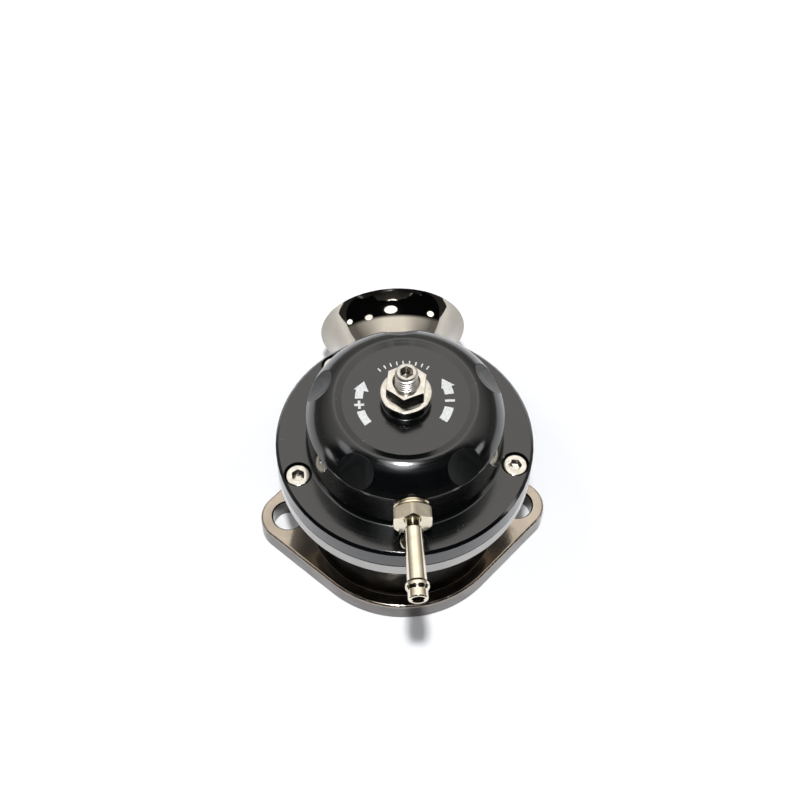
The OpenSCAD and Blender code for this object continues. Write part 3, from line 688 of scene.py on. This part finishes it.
# how far a milled face may be off the dome, its top and its cutter
millReach = {"out": 0.1, "down": 13, "miss": 1.2}


def millScallops(mesh):
    # the scallops' floors lie on their cutters, so that tells their faces from the turned ones
    mesh.materials.append(milled)
    step = fullTurn / coverSize["scallops"]
    for face in mesh.polygons:
        x, y, z = face.center / mm
        radius = math.hypot(x, y)
        angle = (math.atan2(y, x) - math.radians(coverSize["firstScallop"]) + step / 2) % step - step / 2
        onShoulder = (discRadius < radius < coverSize["domeRadius"] + millReach["out"]
                      and z > coverSize["top"] - millReach["down"])
        if onShoulder and abs(angle) < scallopHalf and abs(cutterGap(angle, (radius, z))) < millReach["miss"]:
            face.material_index = 1


millScallops(coverPiece.data)


# Lower housing: the rim under the cover, its register and the stem guide

housingLow, housingHigh = boxInMm("lower_housing")
housingSize = {"rimRadius": housingHigh.x, "top": housingHigh.z, "guideBottom": housingLow.z, "rimBottom": 36.3,
               "rimEdge": 0.8, "registerRadius": 22.98, "webBottom": 33.8, "webTop": 37.0, "guideRadius": 9.0,
               "boreRadius": 6.02, "pocketRadius": 24.2, "seatRadius": 27.82, "seatHeight": 40.4}
housingRounds = {"guide": 0.4, "guideFoot": 0.6, "register": 0.3, "rim": 0.2, "joint": 0.3, "pocket": 0.5}


def housingSolid():
    size, rounds = named(housingSize), named(housingRounds)
    section = roundOff([
        (size.boreRadius, size.webTop), (size.boreRadius, size.guideBottom),
        (size.guideRadius, size.guideBottom, rounds.guide),
        (size.guideRadius, size.webBottom, rounds.guideFoot),
        (size.registerRadius, size.webBottom, rounds.register), (size.registerRadius, size.rimBottom),
        (size.rimRadius - size.rimEdge, size.rimBottom, rounds.rim),
        (size.rimRadius, size.rimBottom + size.rimEdge, rounds.rim), (size.rimRadius, size.top, rounds.joint),
        (size.seatRadius, size.top), (size.seatRadius, size.seatHeight), (size.pocketRadius, size.seatHeight),
        (size.pocketRadius, size.webTop, rounds.pocket), (size.boreRadius + closing, size.webTop)])
    tap = pin(screwSize["tapRadius"], *screwSize["tapEnds"])
    taps = [turnedSolid(tap, movedTo(x, y), facets["tap"]) for x, y in screwPlaces]
    return combine(turnedSolid(section), gather(taps))


newPiece("lower_housing_turned", housingSolid(), rimNickel, ["lower_housing"])


# Valve body: two-bolt flange, chamber wall and outlet spigot in one casting

bodyHigh = boxInMm("valve_body")[1]
bodySize = {"boltReach": 34.0, "earRadius": 8.0, "midRadius": 31.5, "thickness": 7.2, "topEdge": 0.8,
            "faceEdge": 0.3, "boltHole": 4.5, "boltEdge": 0.4, "inlet": 19.0, "seat": 9.0, "chamber": 23.0,
            "wall": 26.5, "fillet": 1.5, "filletGap": 0.01, "top": bodyHigh.z,
            "outletBore": 11.3, "boreEnds": (15, 31), "boreGap": 0.2, "stub": 16.05, "stubEnd": 36.0,
            "spigot": 14.0, "spigotEnd": bodyHigh.y, "spigotRound": 0.3, "spigotEdge": 0.4,
            "groove": (40.2, 42.0, 12.61), "underRim": 0.03}
# degrees and columns: ear, straight side, middle
flangeSpans = ((0, 8.3, 14), (8.3, 46.3, 16), (46.3, 90, 16))


def flangeReach(angle, inset):
    # distance from the valve axis to the flange's edge: an ear's arc, a straight side, then the round middle
    size = named(bodySize)
    folded = abs((angle + math.pi / 2) % math.pi - math.pi / 2)
    side = math.acos((size.midRadius - size.earRadius) / size.boltReach)
    ear = size.earRadius - inset
    earEnd = math.atan2(ear * math.sin(side), size.boltReach + ear * math.cos(side))
    if folded < earEnd:
        offset = size.boltReach * math.sin(folded)
        return size.boltReach * math.cos(folded) + math.sqrt(ear ** 2 - offset ** 2)
    return (size.midRadius - inset) / (math.cos(folded - side) if folded < side else 1)


def flangeColumns():
    # angles round the flange, close together at the ears
    quarter = [start + (end - start) * i / count for start, end, count in flangeSpans for i in range(count)]
    whole = quarter + [180 - a for a in [90] + quarter[:0:-1]]
    return [math.radians(a + half) for half in (0, 180) for a in whole]


def bodySolid():
    size = named(bodySize)
    angles = flangeColumns()
    level, fillet, face = size.thickness, size.fillet, size.faceEdge
    edge = [(size.topEdge - x, level - size.topEdge + z) for x, z in arc((0, 0), size.topEdge, 0, 90, 6)]
    outer = roundOff([
        (size.wall + 2 * fillet, level), (size.wall, level, fillet), (size.wall, size.top, fillet),
        (size.wall + fillet + size.filletGap, size.top), (size.chamber, size.top), (size.chamber, size.seat),
        (size.inlet, size.seat)], 6)
    rings = [ring(angles, r, z) for r, z in ((size.inlet, face), (size.inlet + face, 0))]
    for inset, z in [(face, 0), (0, face)] + edge:
        rings.append(ring(angles, lambda angle: flangeReach(angle, inset), z))
    rings += [ring(angles, r, z) for r, z in outer]
    return gridSolid([(rings, True, True)])


def outletTube():
    # stub and spigot; the inner end follows the middle of the chamber's round wall, inside the metal
    size = named(bodySize)
    bore, stub, spigot, end, edge = size.outletBore, size.stub, size.spigot, size.spigotEnd, size.spigotEdge
    grooveStart, grooveEnd, grooveRadius = size.groove
    middle = (size.chamber + size.wall) / 2
    section = roundOff([(bore, middle), (stub, middle), (stub, size.stubEnd, size.spigotRound),
                        (spigot, size.stubEnd), (spigot, grooveStart), (grooveRadius, grooveStart),
                        (grooveRadius, grooveEnd), (spigot, grooveEnd), (spigot, end, size.spigotRound),
                        (bore + edge, end), (bore, end - edge)])

    def place(x, y, z):
        x, y, z = alongOutlet(x, y, math.sqrt(middle ** 2 - x ** 2) if z == middle else z)
        return x, y, min(z, size.top - size.underRim)  # cut level under the rim
    return turnedSolid(section, place, facets["outlet"])


def bodyCutters():
    size = named(bodySize)
    level, r, edge = size.thickness, size.boltHole, size.boltEdge
    wide = r + edge + past
    section = [(0, -past), (wide, -past), (r, edge), (r, level - edge), (wide, level + past),
               (0, level + past)]
    cutters = [turnedSolid(section, movedTo(side * size.boltReach, 0), facets["screw"]) for side in (-1, 1)]
    bore = pin(size.outletBore + size.boreGap, *size.boreEnds)
    return cutters + [turnedSolid(bore, alongOutlet, facets["outlet"])]


newPiece("valve_body_casting", combine(combine(bodySolid(), gather(bodyCutters())), outletTube(), "UNION"),
         bodyNickel, ["valve_body"])


# Trumpet: a sleeve on the spigot that opens into a flare

trumpetSize = {"start": trumpetLow.y, "mouth": trumpetHigh.y, "mouthRadius": trumpetHigh.x,
               "sleeveInner": 14.05, "sleeveOuter": 16.05, "sleeveRound": 0.35,
               "flareStart": 43.5, "flareWall": 1.4, "rimRound": 0.5, "flareSteps": 24,
               "setScrews": 3, "setScrewPlace": 37.9, "setScrewRadius": 1.55, "holeEnds": (-2, 4)}


def trumpetSolid():
    size = named(trumpetSize)
    depth, rise = size.mouth - size.flareStart, size.mouthRadius - size.sleeveOuter
    outerArc = (rise ** 2 + depth ** 2) / (2 * rise)
    innerArc = outerArc + size.flareWall
    centre = (size.sleeveOuter + outerArc, size.flareStart)
    outside = arc(centre, outerArc, 180, 180 - math.degrees(math.asin(depth / outerArc)), size.flareSteps)
    inside = arc(centre, innerArc, 180 - math.degrees(math.asin(depth / innerArc)), 180, size.flareSteps)
    outside[-1] = (size.mouthRadius, size.mouth, size.rimRound)
    inside[0] = (*inside[0], size.rimRound)
    # the arcs' last points before the rim make way for its rounding
    section = roundOff([(size.sleeveInner, size.flareStart), (size.sleeveInner, size.start),
                        (size.sleeveOuter, size.start, size.sleeveRound)] + outside[:-2] + outside[-1:]
                       + inside[:1] + inside[2:])
    holes = []
    for k in range(size.setScrews):
        turn = math.radians(-90 + 360 * k / size.setScrews)

        def place(x, y, z, turn=turn):
            out = size.sleeveInner + z
            return alongOutlet(out * math.cos(turn) - x * math.sin(turn),
                               out * math.sin(turn) + x * math.cos(turn), size.setScrewPlace + y)
        holes.append(turnedSolid(pin(size.setScrewRadius, *size.holeEnds), place, facets["setScrew"]))
    return combine(turnedSolid(section, alongOutlet, facets["trumpet"]), gather(holes))


newPiece("trumpet_flared", trumpetSolid(), hornNickel, ["trumpet"])


# Cover screws: five socket heads, each stopped at its own turn

screwTurns = (8, 23, -14, 31, 2)  # degrees that each socket is turned


def screwSolid(x, y, turn):
    size = named(screwSize)
    angles, place = evenTurn(facets["screw"]), movedTo(x, y)
    radius, shank, top, base, tip = size.headRadius, size.shank, size.headTop, size.headBase, size.tip
    outside = roundOff([(radius - size.headRound, top), (radius, top, size.headRound),
                        (radius, base, size.headFoot), (shank, base), (shank, tip, size.tipRound), (0, tip)])
    rings = socketRings(angles, size.flats, top, top - size.socketDepth, size.socketCone, place, turn)
    rings += [ring(angles, r, z, place, turn) for r, z in outside]
    return gridSolid([(rings, True, False)])


screws = [screwSolid(x, y, math.radians(turn)) for (x, y), turn in zip(screwPlaces, screwTurns)]
newPiece("cover_screws_socket_head", gather(screws), brightSteel, ["cover_screws"])


# Hose nipple: threaded root, hexagon, neck, tapered tube and bead

nippleSize = {"radius": 4.8, "pitch": 0.907, "runout": 6, "low": -nippleFlat - nippleHigh.y, "high": 1.4,
              "flats": 10.0, "hexEnd": 5.2, "hexCut": 0.08, "hexFace": 0.05, "hexBevel": 30, "neck": 1.9,
              "neckEnd": 6.4, "tubeStart": 2.4, "tubeEnd": 2.6, "beadToTip": 4.9, "bead": 3.15,
              "beadRuns": (0.8, 1.6, 2.6), "tip": -nippleFlat - nippleLow.y, "bore": 1.6, "boreEdge": 0.25}
nippleRounds = {"neck": 0.3, "tubeStart": 0.25, "tubeEnd": 0.5, "bead": 0.4, "tip": 0.35}


def nippleSolid():
    size, rounds = named(nippleSize), named(nippleRounds)
    low, high, hexEnd, tip, bore = size.low, size.high, size.hexEnd, size.tip, size.bore
    angles, half, bevel = evenTurn(facets["screw"]), size.flats / 2, math.tan(math.radians(size.hexBevel))
    corner = half / math.cos(math.pi / 6) - size.hexCut
    thread, root = threadPatch(nippleSize, alongNipple, facets["screw"])
    start = tip - size.beadToTip
    rise, crest, fall = (start + run for run in size.beadRuns)
    tube = roundOff([(size.neck, hexEnd), (size.neck, size.neckEnd, rounds.neck),
                     (size.tubeStart, size.neckEnd, rounds.tubeStart),
                     (size.tubeEnd, start, rounds.tubeEnd), (size.bead, rise, rounds.bead),
                     (size.bead, crest, rounds.bead), (size.tubeEnd, fall, rounds.tubeEnd),
                     (size.tubeEnd, tip, rounds.tip), (bore + size.boreEdge, tip),
                     (bore, tip - size.boreEdge), (bore, low), (root, low)])

    def side(angle):
        return hexEdge(angle, size.flats, corner)
    outline = [(root, high), (half - size.hexFace, high), (side, lambda r: high + (r - half) * bevel),
               (side, lambda r: hexEnd - (r - half) * bevel), (half - size.hexFace, hexEnd)] + tube
    rings = [ring(angles, reach, height, alongNipple) for reach, height in outline]
    return gridSolid([thread, (rings, True, False)])


newPiece("vacuum_nipple_turned", nippleSolid(), nickelBrass, ["vacuum_nipple"])


# Adjuster: a socket set screw with a real helix

adjusterLow, adjusterHigh = boxInMm("adjuster_screw")
adjusterSize = {"radius": adjusterHigh.x, "pitch": 1.0, "runout": 1,
                "low": adjusterLow.z, "high": adjusterHigh.z,
                "flats": 3.0, "socketDepth": 3.0, "socketCone": 0.4, "shineReach": 0.56}


def adjusterSolid():
    size = named(adjusterSize)
    angles, low, top = evenTurn(facets["screw"]), size.low, size.high
    thread, end = threadPatch(adjusterSize, upright, facets["screw"])
    socket = socketRings(angles, size.flats, top, top - size.socketDepth, size.socketCone)
    cap = [ring(angles, end, top)] + socket[::-1]
    foot = [ring(angles, end, low), ring(angles, 0, low)]
    return gridSolid([thread, (cap, True, False), (foot, True, False)])


adjuster = newPiece("adjuster_screw_threaded", adjusterSolid(), rolledSteel, ["adjuster_screw"],
                    "adjuster", angle=40)
adjuster.data.materials.append(brightSteel)
for face in adjuster.data.polygons:
    if face.center.xy.length < adjusterSize["flats"] * adjusterSize["shineReach"] * mm:
        face.material_index = 1  # the socket was broached, so it shines


# Lock nut: a hexagon on a flange

nutLow, nutHigh = boxInMm("lock_nut")
nutSize = {"base": nutLow.z, "top": nutHigh.z, "flats": 10.0, "hexCut": 0.06, "flange": nutHigh.x,
           "edge": 0.55, "coneEnd": 0.85, "coneRadius": 5.0, "bore": 3.05, "sink": (0.6, 1.1), "turn": -10,
           "cornerDrop": 0.14, "topEdge": 0.1, "footRound": 0.15, "edgeRound": 0.25}


def nutSolid():
    size = named(nutSize)
    base, flange, edge, bore, soft = size.base, size.flange, size.edge, size.bore, size.topEdge
    half, tall, (sinkWide, sinkDeep) = size.flats / 2, size.top - base, size.sink
    corner = half / math.cos(math.pi / 6) - size.hexCut
    slope = (size.coneEnd - edge) / (flange - size.coneRadius)
    fall = size.cornerDrop / (corner - half + soft)

    def side(angle):
        return hexEdge(angle, size.flats, corner)

    def cone(r):
        return edge + (flange - r) * slope
    outline = roundOff([(bore, 0), (flange, 0, size.footRound), (flange, edge, size.edgeRound),
                        (corner, cone(corner))])
    outline += [(side, cone), (side, lambda r: tall - soft - (r - half + soft) * fall),
                (lambda angle: side(angle) - soft, lambda r: tall - (r - half + 2 * soft) * fall),
                (half - 2 * soft, tall), (bore + sinkWide, tall), (bore, tall - sinkDeep)]
    angles, turn = evenTurn(facets["nut"]), math.radians(size.turn)
    rings = [ring(angles, reach, height, lambda x, y, z: (x, y, base + z), turn) for reach, height in outline]
    return gridSolid([(rings, True, True)])


newPiece("lock_nut_flanged", nutSolid(), brightSteel, ["lock_nut"], "lock_ring")


# Main spring: closed ends, evenly open between them

springLow, springHigh = boxInMm("main_spring")
springSize = {"wire": 1.0, "mean": 13.0, "turns": 4.5, "low": springLow.z, "high": springHigh.z,
              "closed": 0.75}


def springSolid():
    size = named(springSize)
    wire, mean, turns, closed = size.wire, size.mean, size.turns, size.closed
    steps, sides = int(turns * facets["coil"]), evenTurn(facets["wire"])
    closedRise = wire * closed
    span = size.high - size.low - 2 * wire
    rings = []
    for i in range(steps + 1):
        share = i / steps * turns
        body = min(max((share - closed) / (turns - 2 * closed), 0), 1)
        ends = min(share, closed) + max(share - turns + closed, 0)
        z = size.low + wire + closedRise * ends / closed + (span - 2 * closedRise) * body
        turn = fullTurn * share
        rings.append([((mean + wire * math.cos(a)) * math.cos(turn),
                       (mean + wire * math.cos(a)) * math.sin(turn),
                       z + wire * math.sin(a)) for a in sides])
    return gridSolid([(capped(rings), True, False)])


spring = newPiece("main_spring_coil", springSolid(), springSteel, ["main_spring"],
                  "spring_carrier")
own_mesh(spring)


# Diaphragm: a clamped rim, one rolled wall and a flat middle

rubberLow, rubberHigh = boxInMm("diaphragm")
diaphragmSize = {"rim": rubberHigh.x, "top": rubberHigh.z, "bottom": rubberLow.z, "thick": 1.2, "wall": 23.2,
                 "hole": 3.2, "outerRound": 0.4, "innerRound": 0.3}


def diaphragmSolid():
    size = named(diaphragmSize)
    low, high, thick, wall, soft = size.bottom, size.top, size.thick, size.wall, size.innerRound
    inside = wall - thick
    section = roundOff([
        (size.hole, low), (inside, low), (wall, low, size.outerRound), (wall, high - thick),
        (size.rim, high - thick), (size.rim, high), (inside, high, soft), (inside, low + thick, soft),
        (size.hole, low + thick)])
    return turnedSolid(section)


diaphragm = newPiece("diaphragm_moulded", diaphragmSolid(), rubber, ["diaphragm"], body=None)
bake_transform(diaphragm)


# Print on the dish: two turning arrows with a plus and a minus, and a row of ticks

printLift = 0.005  # mm above the dish
printSize = {"level": coverSize["top"] - coverSize["dishDepth"] + printLift, "thick": 0.03, "sign": 2.6,
             "stroke": 0.7, "tickRadius": 11.5, "tickLength": 1.2, "tickWidth": 0.35, "ticks": 9,
             "tickStep": 8.5}
arrows = [{"inner": 11.3, "outer": 13.4, "tail": 214, "neck": 164, "point": 150, "wings": (10.0, 14.1),
           "gap": (194, 176), "bars": 2},
          {"inner": 10.4, "outer": 12.8, "tail": -36.5, "neck": 16, "point": 31, "wings": (10.0, 13.7),
           "gap": (-15, 5), "bars": 1}]


def printedPatch(pairs):
    # a thin raised patch between matching inner and outer outlines of (x, y) points
    low, high = printSize["level"], printSize["level"] + printSize["thick"]
    rings = [[(a[0], a[1], low), (b[0], b[1], low), (b[0], b[1], high), (a[0], a[1], high)] for a, b in pairs]
    return gridSolid([(capped(rings), True, False)])


def polar(radius, degrees):
    return radius * math.cos(math.radians(degrees)), radius * math.sin(math.radians(degrees))


def bandPatch(inner, outer, start, end):
    # a curved band, with a step about every two degrees
    steps = max(2, int(abs(end - start) / 2))
    return printedPatch([(polar(inner, t), polar(outer, t)) for t in evenRuns(start, end, steps + 1)])


def barPatch(centre, degrees, length, width):
    # a straight bar about a centre
    middle, along = Vector(centre), Vector(polar(1, degrees))
    across = Vector((-along.y, along.x))
    ends = [middle + along * length * s for s in (-0.5, 0.5)]
    return printedPatch([(end - across * width / 2, end + across * width / 2) for end in ends])


def printSolid():
    size, patches = named(printSize), []
    arm = (size.sign - size.stroke) / 2
    for arrow in arrows:
        inner, outer, neck = arrow["inner"], arrow["outer"], arrow["neck"]
        patches.append(bandPatch(inner, outer, arrow["tail"], arrow["gap"][0]))
        patches.append(bandPatch(inner, outer, arrow["gap"][1], neck))
        middle = (inner + outer) / 2
        tip = polar(middle, arrow["point"])
        patches.append(printedPatch([[polar(wing, neck) for wing in arrow["wings"]], (tip, tip)]))
        x, y = polar(middle, sum(arrow["gap"]) / 2)
        patches.append(barPatch((x, y), 0, size.sign, size.stroke))
        if arrow["bars"] == 2:
            for side in (-1, 1):
                spot = (x, y + side * (size.stroke + arm) / 2)
                patches.append(barPatch(spot, 90, arm, size.stroke))
    for k in range(size.ticks):
        turn = 90 + (k - (size.ticks - 1) / 2) * size.tickStep
        patches.append(barPatch(polar(size.tickRadius, turn), turn, size.tickLength, size.tickWidth))
    return gather(patches)


newPiece("adjuster_marks_print", printSolid(), ink)


# CAD nodes that show as they are

nodeFinish = {"guide_bush": bronze, "trumpet_o_ring": rubber, "trumpet_set_screws": blackOxide,
              "adjuster_seal": rubber, "spring_seat": plainAlloy, "upper_plate": plainAlloy,
              "lower_plate": plainAlloy, "stem_nut": brightSteel, "stem_washer": brightSteel,
              "valve_stem": springSteel, "valve_head": plainAlloy, "valve_seal": rubber,
              "head_screw": brightSteel}
for nodeName, finish in nodeFinish.items():
    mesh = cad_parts[nodeName].data
    mesh.materials.clear()
    mesh.materials.append(finish)
print("nodes kept:", len(nodeFinish))


# Camera, fitted to the photograph's circles and bolt holes

viewpoint = {"turn": -4.51, "rise": 57.84, "roll": 1.22, "distance": 400.74, "target": (-1.53, 0, 68.58),
             "lens": 68.6, "nearest": 10}


def addCamera():
    turn, rise, roll = (math.radians(viewpoint[k]) for k in ("turn", "rise", "roll"))
    ahead = Vector((-math.sin(turn) * math.cos(rise), math.cos(turn) * math.cos(rise), -math.sin(rise)))
    right = ahead.cross(Vector((0, 0, 1))).normalized()
    up = right.cross(ahead)
    right, up = right * math.cos(roll) + up * math.sin(roll), up * math.cos(roll) - right * math.sin(roll)
    camera = bpy.data.objects.new("camera", bpy.data.cameras.new("camera"))
    camera.data.lens = viewpoint["lens"]
    camera.data.clip_start = viewpoint["nearest"] * mm
    facing = Matrix((right, up, -ahead)).transposed().to_4x4()
    stand = (Vector(viewpoint["target"]) - ahead * viewpoint["distance"]) * mm
    camera.matrix_world = Matrix.Translation(stand) @ facing
    scene.collection.objects.link(camera)
    scene.camera = camera


addCamera()


# Studio: a white table, a small lamp overhead with its soft shade, three lamps at the sides, a white board
# behind, and in front a black card and a dark room

lampAim = Vector((0, 0, 0.04))  # about the part's middle; lamps are in metres
lamps = [{"name": "overhead", "to": (-0.035, -0.28, 0.959), "away": 0.83, "size": 0.05, "radiance": 850,
          "colour": "#fbfcff"},
         {"name": "overhead_shade", "to": (-0.06, -0.335, 0.94), "away": 0.84, "size": 0.34, "radiance": 2.4,
          "colour": "#fbfcff"},
         {"name": "left", "to": (-0.72, -0.11, 0.68), "away": 1.0, "size": 0.26, "radiance": 1.9,
          "colour": "#fdfbff"},
         {"name": "right", "to": (0.94, -0.21, 0.28), "away": 1.0, "size": 0.24, "radiance": 2.4,
          "colour": "#ffffff"},
         {"name": "far_left", "to": (-0.985, -0.15, 0.06), "away": 1.0, "size": 0.2, "radiance": 2.4,
          "colour": "#ffffff"}]
# the pairs are where, in a direction's X, Y or Z, the board starts, rises to full strength and fades
# at its sides
roomTones = {"fill": "#606266", "front": "#0b0c0d", "board": "#fffcf7", "boardStart": (-0.14, 0.06),
             "boardStrength": 1.75, "horizonStrength": 0.45, "boardRise": (0.2, 0.75),
             "boardSides": (0.3, 0.7), "sideShare": 0.58}


def addLamp(lamp):
    data = bpy.data.lights.new(lamp["name"], "AREA")
    data.shape = "DISK"
    data.size = lamp["size"]
    data.energy = lamp["radiance"] * math.pi * lamp["size"] ** 2
    data.color = linear(lamp["colour"])[:3]
    thing = bpy.data.objects.new(lamp["name"], data)
    away = Vector(lamp["to"]).normalized()
    thing.location = lampAim + away * lamp["away"]
    thing.rotation_euler = away.to_track_quat("Z", "Y").to_euler()
    thing.visible_camera = False
    scene.collection.objects.link(thing)


def rayMask(tree, names):
    # one where the ray is any of the named kinds
    path = addNode(tree, "LightPath")
    mask = (path, names[0])
    for name in names[1:]:
        mask = (addNode(tree, "Math", {"operation": "MAXIMUM"}, {0: mask, 1: (path, name)}), 0)
    return mask


def addRoom():
    # the metal sees the board behind and the dark room in front, the camera sees plain white
    tones = roomTones
    world = bpy.data.worlds.new("room")
    world.use_nodes = True
    scene.world = world
    tree = world.node_tree
    here = addNode(tree, "TexCoord")
    parts = addNode(tree, "SeparateXYZ", {}, {0: (here, "Generated")})
    behind = addNode(tree, "MapRange", limits(0, 1, *tones["boardStart"]), {"Value": (parts, "Y")})
    behind.interpolation_type = "SMOOTHSTEP"
    strengths = limits(tones["horizonStrength"], tones["boardStrength"], *tones["boardRise"])
    strength = addNode(tree, "MapRange", strengths, {"Value": (parts, "Z")})
    aside = addNode(tree, "Math", {"operation": "ABSOLUTE"}, {0: (parts, "X")})
    narrow = addNode(tree, "MapRange", limits(1, tones["sideShare"], *tones["boardSides"]),
                     {"Value": (aside, 0)})
    level = addNode(tree, "Math", {"operation": "MULTIPLY"}, {0: (strength, 0), 1: (narrow, 0)})
    board = addNode(tree, "VectorMath", {"operation": "SCALE", 0: linear(tones["board"])[:3]},
                    {"Scale": (level, 0)})
    mirrored = addNode(tree, "Mix", {"data_type": "RGBA", 6: linear(tones["front"])},
                       {0: (behind, 0), 7: (board, 0)})
    shiny = addNode(tree, "Mix", {"data_type": "RGBA", 6: linear(tones["fill"])},
                    {0: rayMask(tree, ["Is Glossy Ray", "Is Transmission Ray"]), 7: (mirrored, 2)})
    seen = addNode(tree, "Mix", {"data_type": "RGBA", 7: (1, 1, 1, 1)},
                   {0: rayMask(tree, ["Is Camera Ray"]), 6: (shiny, 2)})
    tree.links.new(seen.outputs[2], tree.nodes["Background"].inputs["Color"])


tableLook = {"colour": "#eeeeee", "roughness": 0.9, "glow": (0.08, 0.55), "glowFrom": (55, 140), "reach": 500,
             "drop": 0.02}
flagLook = {"colour": "#050505", "from": 112, "wingFrom": 30, "wingGap": 125, "reach": 1500, "lift": 0.2}


def addTable():
    # white table that keeps the object's shadow; away from the object a glow keeps it white to the camera
    # and metal
    solid = bmesh.new()
    bmesh.ops.create_grid(solid, x_segments=1, y_segments=1, size=tableLook["reach"] * mm)
    mesh = bpy.data.meshes.new("table")
    solid.to_mesh(mesh)
    solid.free()
    table = bpy.data.objects.new("table", mesh)
    table.location.z = -tableLook["drop"] * mm
    scene.collection.objects.link(table)
    surface = {"Base Color": linear(tableLook["colour"]), "Roughness": tableLook["roughness"],
               "Emission Color": (1, 1, 1, 1)}
    material, tree, shader = newMaterial("white_matt_table", surface)
    far = addNode(tree, "VectorMath", {"operation": "LENGTH"}, {0: (placeInMm(tree), 0)})
    level = addNode(tree, "MapRange", limits(*tableLook["glow"], *tableLook["glowFrom"]),
                    {"Value": (far, "Value")})
    glow = addNode(tree, "Math", {"operation": "MULTIPLY"},
                   {0: rayMask(tree, ["Is Camera Ray", "Is Glossy Ray", "Is Transmission Ray"]), 1: (level, 0)})
    tree.links.new(glow.outputs[0], shader.inputs["Emission Strength"])
    mesh.materials.append(material)


def addFlag():
    # a black card on the table, in front and at both sides, seen only in the metal
    near, wing, far = (-flagLook[k] * mm for k in ("from", "wingFrom", "reach"))
    gap = flagLook["wingGap"] * mm
    mesh = bpy.data.meshes.new("black_flag")
    edge = [(far, wing), (-gap, wing), (-gap, near), (gap, near),
            (gap, wing), (-far, wing), (-far, far), (far, far)]
    mesh.from_pydata([(x, y, 0) for x, y in edge], [], [tuple(range(len(edge)))])
    flag = bpy.data.objects.new("black_flag", mesh)
    flag.location.z = flagLook["lift"] * mm
    scene.collection.objects.link(flag)
    card = {"Base Color": linear(flagLook["colour"]), "Roughness": 1}
    mesh.materials.append(newMaterial("black_flag_card", card)[0])
    flag.visible_camera = flag.visible_diffuse = flag.visible_shadow = False


for lamp in lamps:
    addLamp(lamp)
addRoom()
addTable()
addFlag()
scene.view_settings.view_transform = "Standard"
print("studio:", len(lamps), "lamps")
